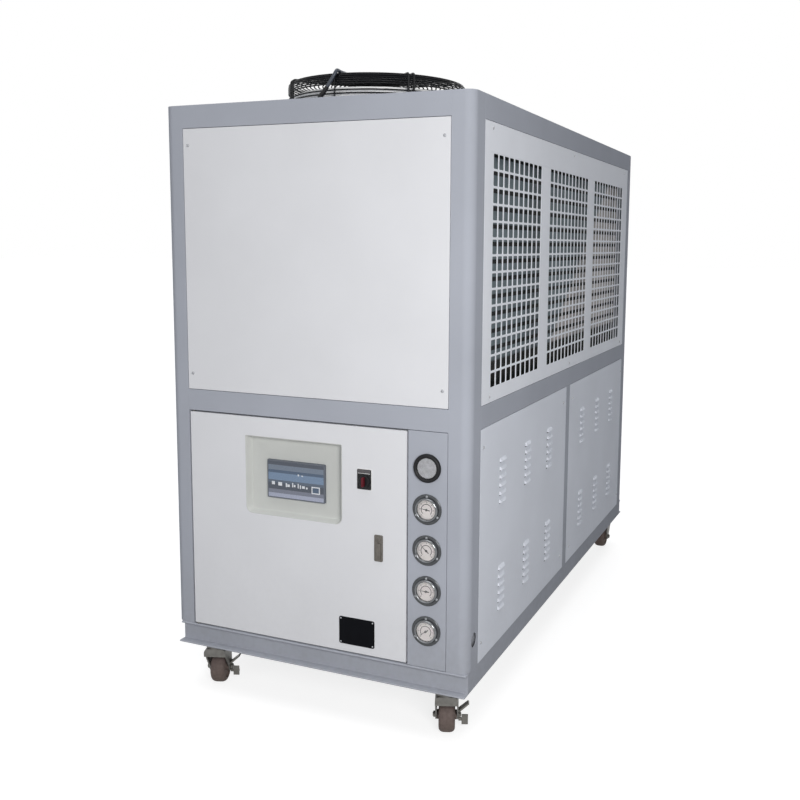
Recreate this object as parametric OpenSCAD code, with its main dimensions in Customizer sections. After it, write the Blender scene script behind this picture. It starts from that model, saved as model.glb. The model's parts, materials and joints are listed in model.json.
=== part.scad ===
// Air cooled water chiller: a sheet steel cabinet on casters, with condenser coils behind punched
// grilles, axial fans on the roof, and a control door and gauges on the front.
// Millimetres. X runs across the front, +Y to the rear, +Z up, with the origin on the floor.

/* [Cabinet] */
// Width of the cabinet across the front
cabinet_w = 1000; // [940:1:1100]
// Depth of the cabinet from front to rear
cabinet_d = 2050; // [2000:1:2200]
// Height of the corner posts
post_h = 1614; // [1560:1:1700]
// Width of a corner post seen from the front
post_front = 65; // [60:1:75]
// Width of a corner post seen from the side
post_side = 85; // [75:1:95]
// Outer radius of a post's rounded edge
corner_r = 30; // [10:1:40]
// Thickness of the frame's sheet
frame_t = 2.5; // [2:0.1:4]
// Height of the top rail
top_rail_h = 67; // [55:1:80]
// Height of the mid rail
mid_rail_h = 65; // [55:1:80]
// Height of the lower compartment, from the base to the mid rail
lower_h = 693; // [660:1:720]
// Width of the mullion between the lower side panels
mullion_w = 50; // [40:1:60]

/* [Panels] */
// Thickness of the panel sheet
panel_t = 2; // [1.5:0.1:3]
// Depth of a panel's folded edge
panel_depth = 15; // [12:0.5:20]
// Gap between a fixed panel and the frame
panel_gap = 1.5; // [1:0.1:3]
// Width of the lip that a panel is screwed to
lip_w = 14; // [10:0.5:18]

/* [Grilles] */
// Pitch of the rows of holes
hole_pitch = 47.5; // [46:0.1:50]
// How far the rows sit below the middle of the panel
hole_drop = 21; // [0:1:30]
// Web between two holes
hole_web = 6.5; // [4:0.5:12]
// Rows of holes
hole_rows = 14; // [10:1:15]
// Columns of holes in each bay, from front to rear
hole_columns = [10, 11, 11];
// Distance from the panel's front edge to the first hole
hole_start = 71; // [50:1:90]
// Plain strip between two bays
bay_gap = 103; // [80:1:106]
// Distance from the last hole to the panel's rear edge
hole_end = 99.5; // [60:0.5:110]

/* [Louvres] */
// Length of a pressed louvre
louvre_w = 52; // [40:1:70]
// Pitch of the louvres in a stack
louvre_pitch = 25.2; // [20:0.1:28]
// Louvres in a stack
louvre_count = 6; // [4:1:8]
// How far a louvre's hood stands out
louvre_out = 7; // [3:0.5:9]

/* [Control door] */
// Width of the gauge panel beside the door
gauge_w = 119.5; // [100:0.5:130]
// Running gap around the control door
door_gap = 5; // [4:0.5:8]
// Depth of the door's folded edge
door_depth = 20; // [16:0.5:26]
// Radius of the door's hinge pins
hinge_pin_r = 4; // [3:0.5:6]
// Distance of the hinge pins from the door's face and edge
hinge_inset = 8; // [7:0.5:12]
// Width of the sunk display pan
pan_w = 332; // [280:1:380]
// Height of the sunk display pan
pan_h = 241; // [200:1:280]
// Depth of the sunk display pan
pan_depth = 25; // [15:1:35]
// Corner radius of the display pan
pan_r = 22; // [10:1:30]
// Width of the touch screen
screen_w = 199; // [160:1:230]
// Height of the touch screen
screen_h = 118; // [90:1:140]
// Depth of the control box behind the door
box_depth = 190; // [150:1:240]

/* [Gauges] */
// Radius of a gauge's flange
gauge_flange_r = 44; // [36:1:50]
// Radius of a gauge's case
gauge_case_r = 31; // [26:1:34]
// Pitch of the gauges
gauge_pitch = 119; // [100:1:125]
// Height of the lowest gauge above the base
gauge_low = 112; // [80:1:130]

/* [Fans] */
// Distance of the first and last fan from the cabinet's ends
fan_inset = 438; // [420:1:470]
// Distance of a fan ring's inside from its guard's outside
ring_in = 24; // [16:1:36]
// Height of a fan ring above the roof
ring_h = 55; // [45:1:65]
// Depth of a fan ring below the roof
ring_drop = 70; // [50:1:90]
// Gap between two fan guards
guard_gap = 15; // [6:1:40]
// Height of a fan guard above the roof
guard_h = 94; // [80:1:110]
// Width of a guard wire
wire_w = 4; // [3:0.5:6]
// Rings in the flat of a guard
guard_rings = 14; // [8:1:18]
// Running clearance between the blades and the ring
blade_clearance = 7; // [5:0.5:12]
// Blades on a rotor
blade_count = 5; // [3:1:7]
// Pitch angle of the blades
blade_angle = 28; // [20:1:35]

/* [Base and casters] */
// Height of the base channel
base_h = 63; // [55:1:75]
// Thickness of the base channel's web and flanges
base_t = 5; // [4:0.5:7]
// How far the base flange stands in front of the cabinet
base_front_out = 17; // [10:1:25]
// How far the base stays inside the cabinet's left side
base_left_in = 18; // [2:1:24]
// How far the base stays inside the cabinet's right side
base_right_in = 2; // [0:1:20]
// Distance from a flange's tip to the web
flange_w = 28; // [20:1:34]
// Height of a caster from the floor to its plate's top
caster_h = 150; // [140:1:170]
// Radius of a caster wheel
wheel_r = 50; // [40:1:55]
// Width of a caster wheel's tread
wheel_w = 48; // [40:1:54]
// Distance from a caster's swivel axis to its wheel's axle
caster_trail = 38; // [30:1:45]
// Distance of the left swivel axes from the cabinet's left side
caster_left = 127; // [95:1:140]
// Distance of the right swivel axes from the cabinet's right side
caster_right = 74; // [70:1:120]
// Distance of a swivel axis from the cabinet's end
caster_end = 33; // [30:1:110]

/* [Connections] */
// Radius of the cable entry in the front right post
entry_r = 21; // [15:0.5:24]
// Radius of the bore of a water socket
socket_r = 26; // [20:0.5:32]

/* [Hidden] */
$fn = 48;
small = 0.05;
base_top = caster_h + base_h;
cabinet_top = base_top + post_h;
mid_low = base_top + lower_h;
mid_high = mid_low + mid_rail_h;
rail_low = cabinet_top - top_rail_h;
half_w = cabinet_w / 2;
half_d = cabinet_d / 2;
front_span = half_w - post_front;
side_span = half_d - post_side;
lip_v = panel_depth;
grille_len = 2 * (side_span - panel_gap);
hole_sum = hole_columns[0] + hole_columns[1] + hole_columns[2];
column_pitch = (grille_len - hole_start - hole_end - 2 * bay_gap + 3 * hole_web) / hole_sum;
hole_w = column_pitch - hole_web;
hole_h = hole_pitch - hole_web;
shelf_w = 40;
base_left = base_left_in - half_w;
base_right = half_w - base_right_in;
side_lip_w = 14;
pan_left = base_left + base_t + side_lip_w;
pan_right = base_right - base_t - side_lip_w;
web_y = half_d + base_front_out - flange_w;
entry_y = 50;
entry_z = 88;
hinge_to_lip = door_depth - hinge_inset;
box_front = hinge_inset + sqrt(hinge_inset * hinge_inset + hinge_to_lip * hinge_to_lip) + 5.5;
box_left_in = 10;
box_right_in = 30;
box_top_in = 30;
louvre_h = 12;
stack_low = 103;
stack_rise = 335;
stack_first = 0.211;
stack_step = 0.277;
deck_t = 2;
deck_gap = 1;
deck_v = lip_v + frame_t + deck_gap;
deck_top = mid_high + deck_t;
socket_outer_r = socket_r + 7;
socket_deep = 60;
socket_places = [[-250, base_top + 180], [-250, base_top + 420]];

door_w = 2 * front_span - gauge_w - 2 * door_gap - panel_gap;
door_left = -front_span + door_gap;
door_right = door_left + door_w;
door_low = base_top + door_gap;
door_high = mid_low - door_gap;
pin_clearance = 0.05;
pan_from_left = 0.4953 * door_w;
pan_from_top = 178;
switch_from_right = 133;
switch_from_top = 153;
latch_from_right = 87;
latch_from_top = 352;
plate_from_right = 159;
plate_from_low = 65;
pan_top_r = 4;
pin_u = door_left + hinge_inset;
pan_u = door_left + pan_from_left;
pan_z = door_high - pan_from_top;
pan_t = 3;
screen_t = 8;
screen_drop = 10;
screen_body_d = 40;
switch_u = door_right - switch_from_right;
switch_z = door_high - switch_from_top;
front_reach = 22;
switch_w = 48;
switch_h = 62;
latch_u = door_right - latch_from_right;
latch_z = door_high - latch_from_top;
latch_w = 27;
latch_h = 79;
plate_u = door_right - plate_from_right;
plate_z = door_low + plate_from_low;
plate_w = 117;
plate_h = 84;
gauge_left = door_right + door_gap;
gauge_right = front_span - panel_gap;
gauge_u = (gauge_left + gauge_right) / 2;
gauge_count = 5;
gauge_out = 12;
gauge_deep = 40;
gauge_stem = 20;
gauge_stem_r = 7;

fan_pitch = half_d - fan_inset;
fan_y = [-fan_pitch, 0, fan_pitch];
guard_r = (fan_pitch - guard_gap) / 2;
ring_r = guard_r - ring_in;
ring_t = 3;
ring_flange_w = 14;
hub_r = 72;
motor_r = 70;
motor_low = 2;
shaft_r = 10;
shaft_len = 40;
rotor_gap = 0.3;
blade_r = ring_r - blade_clearance;
blade_t = 4;
blade_chord = 128;
hub_h = 60;
guard_plate_r = 80;
spoke_count = 4;
spoke_pair = 22;
guard_skirt = [[6, 0.5], [2.5, 5], [1.5, 11], [1.5, 17], [1.5, 23], [1.5, 29], [1.5, 47], [1.5, 57]];
guard_flat_in = 14;
leg_wire_w = 6;
cable_r = 5.5;
cable_turns = [271.5, 200, 200];
cable_high = guard_h + cable_r + 0.3;
gland_u = guard_r + 12;
gland_side = -48;
gland_h = 22;
cable_route = [[30, 0, cable_high], [80, 0, cable_high], [130, 0, cable_high], [180, 0, cable_high],
    [230, 0, cable_high], [guard_r - 24, 0, cable_high], [guard_r - 10, 0, cable_high + 1.5],
    [guard_r - 2, 0, cable_high + 0.5], [guard_r + 4, -1, cable_high - 5], [guard_r + 7, -5, cable_high - 14],
    [guard_r + 9, -14, cable_high - 29], [guard_r + 11, -28, cable_high - 50],
    [gland_u, -40, cable_high - 66],
    [gland_u, gland_side + 2, gland_h + 6], [gland_u, gland_side, gland_h]];

coil_t = 66;
coil_v = 45;
coil_inset = 40;
coil_plate_t = 3;

axle_r = 6;
wheel_bore_r = axle_r + pin_clearance;
hub_wheel_r = 14;
rim_r = 36;
face_in = 6;
boss_r = 14;
bend_r = 13;
brake_w = 22;
caster_turns = [200, 201, 0, 0];
skirt_h = 26;
hub_gap = 0.3;
wheel_gap = 5.5;
leg_t = 4.5;
leg_in = wheel_w / 2 + wheel_gap;
leg_out = leg_in + leg_t;
caster_plate_t = 6;
caster_plate_x = 96;
caster_plate_y = 70;
kingpin_r = 8;
race_r = 34;
race_t = 7;
crown_t = 5;
gusset_t = 6;
gusset_rim = 10;
fork_top = caster_h - caster_plate_t - hub_gap;

frame_grey = [0.62, 0.64, 0.68];
panel_white = [0.82, 0.83, 0.84];
side_white = [0.80, 0.81, 0.83];
galvanised = [0.66, 0.67, 0.68];
zinc = [0.62, 0.60, 0.56];
near_black = [0.09, 0.09, 0.10];

// Walls have their own coordinates: u along the wall, v inwards from the outer face, z up.
module on_front() { translate([0, -half_d, 0]) children(); }
module on_rear() { rotate([0, 0, 180]) translate([0, -half_d, 0]) children(); }
module on_right() { rotate([0, 0, 90]) translate([0, -half_w, 0]) children(); }
module on_left() { mirror([1, 0, 0]) on_right() children(); }

// A box between two corners
module block(low, high) {
    translate(low) cube(high - low);
}

// A sheet panel with folded edges, open at the back
module tray(u0, u1, z0, z1, depth, t = panel_t) {
    difference() {
        block([u0, 0, z0], [u1, depth, z1]);
        block([u0 + t, t, z0 + t], [u1 - t, depth + 1, z1 - t]);
    }
}

// A disc or bar along v, from v0 to v1
module round_v(u, z, r, v0, v1) {
    translate([u, v0, z]) rotate([-90, 0, 0]) cylinder(r = r, h = v1 - v0);
}

// The folded section of a rail between two heights, with the lips that panels land on
module rail(u1, z0, z1, low_from, low_to, high_lip, shelf) {
    block([-u1, 0, z0], [u1, frame_t, z1]);
    block([-u1, 0, z0], [u1, lip_v + frame_t, z0 + frame_t]);
    block([-u1, 0, z1 - frame_t], [u1, shelf, z1]);
    if (low_to > low_from)
        block([low_from, lip_v, z0 - lip_w], [low_to, lip_v + frame_t, z0 + frame_t]);
    if (high_lip)
        block([-u1 + lip_w, lip_v, z1 - frame_t], [u1 - lip_w, lip_v + frame_t, z1 + lip_w]);
}

// The drop and lip inside a top rail that carry the roof panel
module roof_ledge(u1, border) {
    block([-u1, border - frame_t, cabinet_top - lip_v - frame_t], [u1, border, cabinet_top]);
    block([-u1 + lip_w, border - frame_t, cabinet_top - lip_v - frame_t],
        [u1 - lip_w, border + lip_w, cabinet_top - lip_v]);
}

// Front or rear channel: the lower flange stands out, the upper one ends behind the cabinet's face
module cross_channel() {
    block([base_left, flange_w, caster_h], [base_right, flange_w + base_t, base_top]);
    block([base_left, 0, caster_h], [base_right, flange_w + base_t, caster_h + base_t]);
    block([base_left, base_front_out + panel_gap, base_top - base_t],
          [base_right, flange_w + base_t, base_top]);
}

module base_cross_channels() {
    color(frame_grey) {
        translate([0, -half_d - base_front_out, 0]) cross_channel();
        mirror([0, 1, 0]) translate([0, -half_d - base_front_out, 0]) cross_channel();
    }
}

// Side channels, with their flanges inwards
module base_side_channels() {
    y1 = web_y - base_t;
    color(frame_grey) {
        block([base_left, -y1, caster_h], [base_left + base_t, y1, base_top]);
        block([base_right - base_t, -y1, caster_h], [base_right, y1, base_top]);
        for (z = [caster_h, base_top - base_t]) {
            block([base_left, -y1, z], [pan_left, y1, z + base_t]);
            block([pan_right, -y1, z], [base_right, y1, z + base_t]);
        }
    }
}

// Corner plates welded inside the base, which the casters bolt to
module corner_gussets() {
    reach = caster_plate_x / 2 + gusset_rim;
    y0 = half_d - caster_end - caster_plate_y / 2 - gusset_rim;
    y1 = web_y - base_t;
    color(frame_grey)
    for (y = [[-y1, -y0], [y0, y1]]) {
        block([pan_left, y[0], caster_h], [caster_left - half_w + reach, y[1], caster_h + gusset_t]);
        block([half_w - caster_right - reach, y[0], caster_h], [pan_right, y[1], caster_h + gusset_t]);
    }
}

module floor_pan() {
    color(frame_grey)
    block([pan_left, -web_y + base_t, base_top - base_t], [pan_right, web_y - base_t, base_top]);
}

// Section of a post: a folded tube with one rounded outer edge at the corner of u = 0, v = 0
module post_section() {
    difference() {
        post_outline(0, corner_r);
        post_outline(frame_t, max(corner_r - frame_t, 1));
    }
}

module post_outline(inset, r) {
    w = post_front - inset;
    d = post_side - inset;
    translate([inset + r, inset + r]) circle(r = r);
    translate([inset + r, inset]) square([w - inset - r, d - inset]);
    translate([inset, inset + r]) square([w - inset, d - inset - r]);
}

// One post, its corner at the origin and running inwards along +X and +Y
module post(front_low_lip) {
    translate([0, 0, base_top]) linear_extrude(post_h) post_section();
    translate([0, 0, cabinet_top - frame_t]) linear_extrude(frame_t) post_outline(0, corner_r);
    post_lips(mid_high, rail_low, true);
    post_lips(base_top, mid_low, front_low_lip);
}

module post_lips(z0, z1, front_lip) {
    if (front_lip)
        block([post_front - frame_t, lip_v, z0], [post_front + lip_w, lip_v + frame_t, z1]);
    block([lip_v, post_side - frame_t, z0], [lip_v + frame_t, post_side + lip_w, z1]);
}

module corner_posts() {
    color(frame_grey) {
        translate([-half_w, -half_d, 0]) post(false);
        difference() {
            mirror([1, 0, 0]) translate([-half_w, -half_d, 0]) post(true);
            translate([half_w - 2 * frame_t, -half_d + entry_y, base_top + entry_z])
                rotate([0, 90, 0]) cylinder(r = entry_r, h = 4 * frame_t);
        }
        mirror([0, 1, 0]) translate([-half_w, -half_d, 0]) post(true);
        mirror([1, 0, 0]) mirror([0, 1, 0]) translate([-half_w, -half_d, 0]) post(true);
    }
}

module top_rails() {
    color(frame_grey) {
        for (turn = [0, 180])
            rotate([0, 0, turn]) translate([0, -half_d, 0]) {
                rail(front_span, rail_low, cabinet_top, -front_span + lip_w, front_span - lip_w, false,
                     post_side);
                roof_ledge(front_span, post_side);
            }
        for (turn = [90, -90])
            rotate([0, 0, turn]) translate([0, -half_w, 0]) {
                rail(side_span, rail_low, cabinet_top, -side_span + lip_w, side_span - lip_w, false,
                     post_front);
                roof_ledge(side_span, post_front);
            }
    }
}

module mid_rails() {
    color(frame_grey) {
        on_front() rail(front_span, mid_low, mid_high, gauge_left, front_span - lip_w, true, shelf_w);
        on_rear() rail(front_span, mid_low, mid_high, -front_span + lip_w, front_span - lip_w, true, shelf_w);
        for (turn = [90, -90])
            rotate([0, 0, turn]) translate([0, -half_w, 0]) {
                rail(side_span, mid_low, mid_high, 0, 0, true, shelf_w);
                for (s = [-1, 1])
                    block([min(s * (mullion_w / 2 + lip_w), s * (side_span - lip_w)), lip_v, mid_low - lip_w],
                          [max(s * (mullion_w / 2 + lip_w), s * (side_span - lip_w)), lip_v + frame_t,
                           mid_low + frame_t]);
            }
    }
}

module side_mullions() {
    color(frame_grey)
    for (turn = [90, -90])
        rotate([0, 0, turn]) translate([0, -half_w, 0]) {
            block([-mullion_w / 2, 0, base_top], [mullion_w / 2, frame_t, mid_low]);
            for (s = [-1, 1]) {
                block([min(s * mullion_w / 2, s * (mullion_w / 2 - frame_t)), 0, base_top],
                      [max(s * mullion_w / 2, s * (mullion_w / 2 - frame_t)), lip_v + frame_t, mid_low]);
                block([min(s * (mullion_w / 2 - frame_t), s * (mullion_w / 2 + lip_w)), lip_v, base_top],
                      [max(s * (mullion_w / 2 - frame_t), s * (mullion_w / 2 + lip_w)), lip_v + frame_t,
                       mid_low]);
            }
        }
}

module front_upper_panel() {
    color(panel_white)
    on_front() tray(-front_span + panel_gap, front_span - panel_gap, mid_high + panel_gap,
        rail_low - panel_gap, panel_depth);
}

module rear_upper_panel() {
    color(panel_white)
    on_rear() tray(-front_span + panel_gap, front_span - panel_gap, mid_high + panel_gap,
        rail_low - panel_gap, panel_depth);
}

module rear_lower_panel() {
    color(panel_white)
    difference() {
        on_rear() tray(-front_span + panel_gap, front_span - panel_gap, base_top + panel_gap,
            mid_low - panel_gap, panel_depth);
        for (place = socket_places)
            on_rear() round_v(place[0], place[1], socket_outer_r + 1, -1, panel_depth);
    }
}

module gauge_panel() {
    color(frame_grey)
    on_front() difference() {
        tray(gauge_left, gauge_right, base_top + panel_gap, mid_low - panel_gap, panel_depth);
        for (i = [0:gauge_count - 1])
            round_v(gauge_u, gauge_z(i), gauge_case_r + 1, -1, panel_depth);
    }
}

function gauge_z(i) = base_top + gauge_low + i * gauge_pitch;

module gauge(z) {
    round_v(gauge_u, z, gauge_flange_r, -4, 0);
    difference() {
        round_v(gauge_u, z, gauge_case_r, -gauge_out, gauge_deep);
        round_v(gauge_u, z, gauge_case_r - 3, -gauge_out - 1, 3 - gauge_out);
    }
    round_v(gauge_u, z, gauge_stem_r, gauge_deep - small, gauge_deep + gauge_stem);
}

module pressure_gauges() {
    color("silver")
    on_front() for (i = [0:gauge_count - 2]) gauge(gauge_z(i));
}

module sight_gauge() {
    color(near_black)
    on_front() {
        z = gauge_z(gauge_count - 1);
        difference() {
            round_v(gauge_u, z, gauge_flange_r - 3, -10, 0);
            round_v(gauge_u, z, gauge_flange_r - 11, -11, -5);
        }
        round_v(gauge_u, z, gauge_case_r, -1, gauge_deep);
    }
}

module control_door() {
    color(panel_white)
    on_front() difference() {
        tray(door_left, door_right, door_low, door_high, door_depth);
        pan_solid(-pin_clearance, -1, panel_t + 1);
        for (z = [door_low, door_high])
            translate([pin_u, hinge_inset, z - 10]) cylinder(r = hinge_pin_r + pin_clearance, h = 20);
    }
}

// Moulded pan sunk into the door round the screen
module display_pan() {
    color([0.82, 0.82, 0.78])
    on_front() difference() {
        pan_solid(0, 0, pan_depth + pan_t);
        pan_solid(pan_t, -1, pan_depth);
        block([pan_u - screen_w / 2 + 6, pan_depth - 1, pan_z - screen_drop - screen_h / 2 + 6],
              [pan_u + screen_w / 2 - 6, pan_depth + pan_t + 1, pan_z - screen_drop + screen_h / 2 - 6]);
    }
}

// The pan's outline, with round lower corners, from depth v0 to v1 and drawn in by inset
module pan_solid(inset, v0, v1) {
    w = pan_w / 2 - inset;
    h = pan_h / 2 - inset;
    low = pan_r - inset;
    top = max(pan_top_r - inset, 1);
    translate([pan_u, v1, pan_z]) rotate([90, 0, 0]) linear_extrude(v1 - v0) {
        translate([-w, low - h]) square([2 * w, 2 * h - low - top]);
        translate([low - w, -h]) square([2 * (w - low), 2 * low]);
        translate([top - w, h - 2 * top]) square([2 * (w - top), 2 * top]);
        for (s = [-1, 1]) {
            translate([s * (w - low), low - h]) circle(r = low);
            translate([s * (w - top), h - top]) circle(r = top);
        }
    }
}

module touch_screen() {
    color([0.36, 0.42, 0.50])
    on_front() {
        block([pan_u - screen_w / 2, pan_depth - screen_t, pan_z - screen_drop - screen_h / 2],
              [pan_u + screen_w / 2, pan_depth, pan_z - screen_drop + screen_h / 2]);
        block([pan_u - screen_w / 2 + 7, pan_depth - 1, pan_z - screen_drop - screen_h / 2 + 7],
              [pan_u + screen_w / 2 - 7, pan_depth + screen_body_d, pan_z - screen_drop + screen_h / 2 - 7]);
    }
}

module rotary_switch() {
    color(near_black)
    on_front() {
        block([switch_u - switch_w / 2, -3, switch_z - switch_h / 2],
              [switch_u + switch_w / 2, 0, switch_z + switch_h / 2]);
        round_v(switch_u, switch_z - 5, 17, -9, -2.9);
        block([switch_u - 6, -front_reach, switch_z - 21], [switch_u + 6, -8.9, switch_z + 11]);
    }
}

module door_latch() {
    color(zinc)
    on_front() {
        block([latch_u - latch_w / 2, -3, latch_z - latch_h / 2],
              [latch_u + latch_w / 2, 0, latch_z + latch_h / 2]);
        block([latch_u - latch_w / 2 + 5, -6, latch_z - latch_h / 2 + 6],
              [latch_u + latch_w / 2 - 5, -2.9, latch_z + latch_h / 2 - 24]);
        round_v(latch_u, latch_z + latch_h / 2 - 13, 8, -5, -2.9);
    }
}

module nameplate() {
    color(near_black)
    on_front() block([plate_u - plate_w / 2, -1, plate_z - plate_h / 2],
        [plate_u + plate_w / 2, 0, plate_z + plate_h / 2]);
}

// Pivot pins at the door's top and bottom, with the washer that it stands on
module door_hinges() {
    color(zinc)
    on_front() {
        translate([pin_u, hinge_inset, mid_low - door_gap - 12]) cylinder(r = hinge_pin_r, h = door_gap + 12);
        translate([pin_u, hinge_inset, base_top]) cylinder(r = hinge_pin_r, h = door_gap + 12);
        translate([pin_u, hinge_inset, base_top]) cylinder(r = hinge_inset - 1, h = door_gap - hub_gap);
    }
}

module control_box() {
    color([0.75, 0.76, 0.77])
    on_front() translate([0, box_front, 0]) mirror([0, 1, 0]) translate([0, -box_depth, 0])
        tray(door_left + box_left_in, door_right - box_right_in, base_top, mid_low - box_top_in, box_depth);
}

// A punched side panel: bays of square holes in rows
module grille() {
    u0 = -side_span + panel_gap;
    z0 = mid_high + panel_gap;
    z1 = rail_low - panel_gap;
    rows_h = (hole_rows - 1) * hole_pitch + hole_h;
    low = z0 + (z1 - z0 - rows_h) / 2 - hole_drop;
    difference() {
        tray(u0, -u0, z0, z1, panel_depth);
        block([u0 + panel_t, -1, z0 + panel_t], [-u0 - panel_t, panel_depth + 1, z1 - panel_t]);
    }
    translate([0, panel_t, 0]) rotate([90, 0, 0]) linear_extrude(panel_t) difference() {
        translate([u0, z0]) square([-2 * u0, z1 - z0]);
        for (bay = [0:len(hole_columns) - 1])
            for (c = [0:hole_columns[bay] - 1], r = [0:hole_rows - 1])
                translate([u0 + bay_start(bay) + c * column_pitch, low + r * hole_pitch])
                    square([hole_w, hole_h]);
    }
}
function bay_w(i) = (hole_columns[i] - 1) * column_pitch + hole_w;
function bay_start(i) = i == 0 ? hole_start : bay_start(i - 1) + bay_w(i - 1) + bay_gap;

module grille_right() { color(side_white) on_right() grille(); }
module grille_left() { color(side_white) on_left() grille(); }

// A pressed hood over a slit: its section along the panel, drawn in towards both ends
module louvre(u, z) {
    translate([u, 0, z]) intersection() {
        translate([-louvre_w / 2, 0, 0]) rotate([90, 0, 90]) linear_extrude(louvre_w)
            polygon([[panel_t / 2, 0], [panel_t / 2, louvre_h], [0, louvre_h],
                     [-0.7 * louvre_out, 0.5 * louvre_h],
                     [-louvre_out, 0.2 * louvre_h], [-louvre_out, 0]]);
        linear_extrude(louvre_h)
            polygon([[-louvre_w / 2, panel_t], [-louvre_w / 2, 0], [3 - louvre_w / 2, -0.7 * louvre_out],
                     [9 - louvre_w / 2, -louvre_out], [louvre_w / 2 - 9, -louvre_out],
                     [louvre_w / 2 - 3, -0.7 * louvre_out], [louvre_w / 2, 0], [louvre_w / 2, panel_t]]);
    }
}

// One lower side panel: two rows of three stacks of louvres
module louvre_panel(u0, u1) {
    w = u1 - u0;
    tray(u0, u1, base_top + panel_gap, mid_low - panel_gap, panel_depth);
    for (column = [0:2], stack = [0, 1], i = [0:louvre_count - 1])
        louvre(u0 + w * (stack_first + stack_step * column),
               base_top + stack_low + stack * stack_rise + i * louvre_pitch);
}

module louvre_panels() {
    louvre_panel(-side_span + panel_gap, -mullion_w / 2 - panel_gap);
    louvre_panel(mullion_w / 2 + panel_gap, side_span - panel_gap);
}

module louvre_panels_right() { color(side_white) on_right() louvre_panels(); }
module louvre_panels_left() { color(side_white) on_left() louvre_panels(); }

module roof_panel() {
    color(frame_grey)
    difference() {
        block([-front_span + panel_gap, -side_span + panel_gap, cabinet_top - panel_depth],
              [front_span - panel_gap, side_span - panel_gap, cabinet_top]);
        block([-front_span + panel_gap + panel_t, -side_span + panel_gap + panel_t,
               cabinet_top - panel_depth - 1],
              [front_span - panel_gap - panel_t, side_span - panel_gap - panel_t, cabinet_top - panel_t]);
        for (y = fan_y)
            translate([0, y, cabinet_top - panel_depth])
                cylinder(r = ring_r + ring_t + 1, h = panel_depth + 1);
    }
}

// Inlet rings of the fans, with a flange on the roof
module fan_rings() {
    color("whitesmoke")
    for (y = fan_y)
        translate([0, y, cabinet_top]) rotate_extrude() {
            translate([ring_r, -ring_drop]) square([ring_t, ring_drop + ring_h]);
            translate([ring_r, 0]) square([ring_flange_w, ring_t]);
        }
}

// Wire guard over a fan: rings on spokes whose ends bend down to the roof
module fan_guard(y) {
    color(near_black)
    translate([0, y, cabinet_top]) {
        step = (guard_r - guard_flat_in - guard_plate_r) / guard_rings;
        for (i = [1:guard_rings])
            guard_ring(guard_plate_r + i * step, guard_h - wire_w);
        for (ring = guard_skirt)
            guard_ring(guard_r - ring[0], guard_h - wire_w - ring[1]);
        translate([0, 0, guard_h - 2 * wire_w]) cylinder(r = guard_plate_r, h = 2 * wire_w);
        for (i = [0:spoke_count - 1]) {
            rotate([0, 0, i * 360 / spoke_count]) guard_spoke(wire_w);
            rotate([0, 0, 45 + i * 360 / spoke_count])
                for (s = [-1, 1])
                    translate([0, s * spoke_pair / 2, 0]) guard_spoke(leg_wire_w);
        }
    }
}

module guard_ring(r, z) {
    translate([0, 0, z]) rotate_extrude() translate([r - wire_w, 0]) square(wire_w);
}

// A spoke that runs out under the rings, bends at the rim and stands on the roof
module guard_spoke(w) {
    top = guard_h - wire_w + 1;
    out = guard_r - wire_w + 1;
    translate([0, w / 2, 0]) rotate([90, 0, 0]) linear_extrude(w)
        polygon([[guard_plate_r - 10, top], [guard_plate_r - 10, top - wire_w],
                 [out - wire_w - 6, top - wire_w], [out - wire_w, top - wire_w - 6],
                 [out - wire_w, 0], [out, 0], [out, top - 6], [out - 6, top]]);
}

module fan_guard_front() { fan_guard(fan_y[0]); }
module fan_guard_middle() { fan_guard(fan_y[1]); }
module fan_guard_rear() { fan_guard(fan_y[2]); }

// Motors hung under the guards, with the shafts that carry the rotors
module fan_motors() {
    color(near_black)
    for (y = fan_y)
        translate([0, y, cabinet_top]) {
            translate([0, 0, motor_low]) cylinder(r = motor_r, h = guard_h - 2 * wire_w - motor_low);
            translate([0, 0, motor_low - shaft_len]) cylinder(r = shaft_r, h = shaft_len + 1);
        }
}

// Rotor: a hub with pitched blades
module fan_rotor(y) {
    color([0.16, 0.17, 0.18])
    translate([0, y, cabinet_top + motor_low - rotor_gap - hub_h]) {
        difference() {
            union() {
                cylinder(r = hub_r, h = hub_h);
                for (i = [0:blade_count - 1]) rotate([0, 0, i * 360 / blade_count]) blade();
            }
            translate([0, 0, hub_h - shaft_len - 2]) cylinder(r = shaft_r + pin_clearance, h = shaft_len + 3);
        }
    }
}

module blade() {
    intersection() {
        difference() {
            translate([0, 0, -hub_h]) cylinder(r = blade_r, h = 2 * hub_h + hub_h);
            translate([0, 0, -hub_h - 1]) cylinder(r = hub_r - 4, h = 3 * hub_h + 2);
        }
        translate([0, 0, hub_h / 2]) rotate([blade_angle, 0, 0])
            translate([0, -blade_chord / 2, -blade_t / 2]) linear_extrude(blade_t)
                polygon([[hub_r - 10, blade_chord * 0.22], [blade_r + 20, -6], [blade_r + 20, blade_chord],
                         [hub_r - 10, blade_chord * 0.86]]);
    }
}

module fan_rotor_front() { fan_rotor(fan_y[0]); }
module fan_rotor_middle() { fan_rotor(fan_y[1]); }
module fan_rotor_rear() { fan_rotor(fan_y[2]); }

// Finned condenser coils that stand on the deck behind the grilles
module condenser_coils() {
    color([0.55, 0.62, 0.64])
    for (turn = [90, -90])
        rotate([0, 0, turn]) translate([0, -half_w, 0]) {
            block([-side_span + coil_inset, coil_v, deck_top],
                  [side_span - coil_inset, coil_v + coil_t, rail_low - 10]);
            for (s = [-1, 1])
                translate([s * (side_span - coil_inset), 0, 0])
                    block([-coil_plate_t, coil_v - 6, deck_top],
                          [coil_plate_t, coil_v + coil_t + 6, rail_low - 6]);
        }
}

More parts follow.
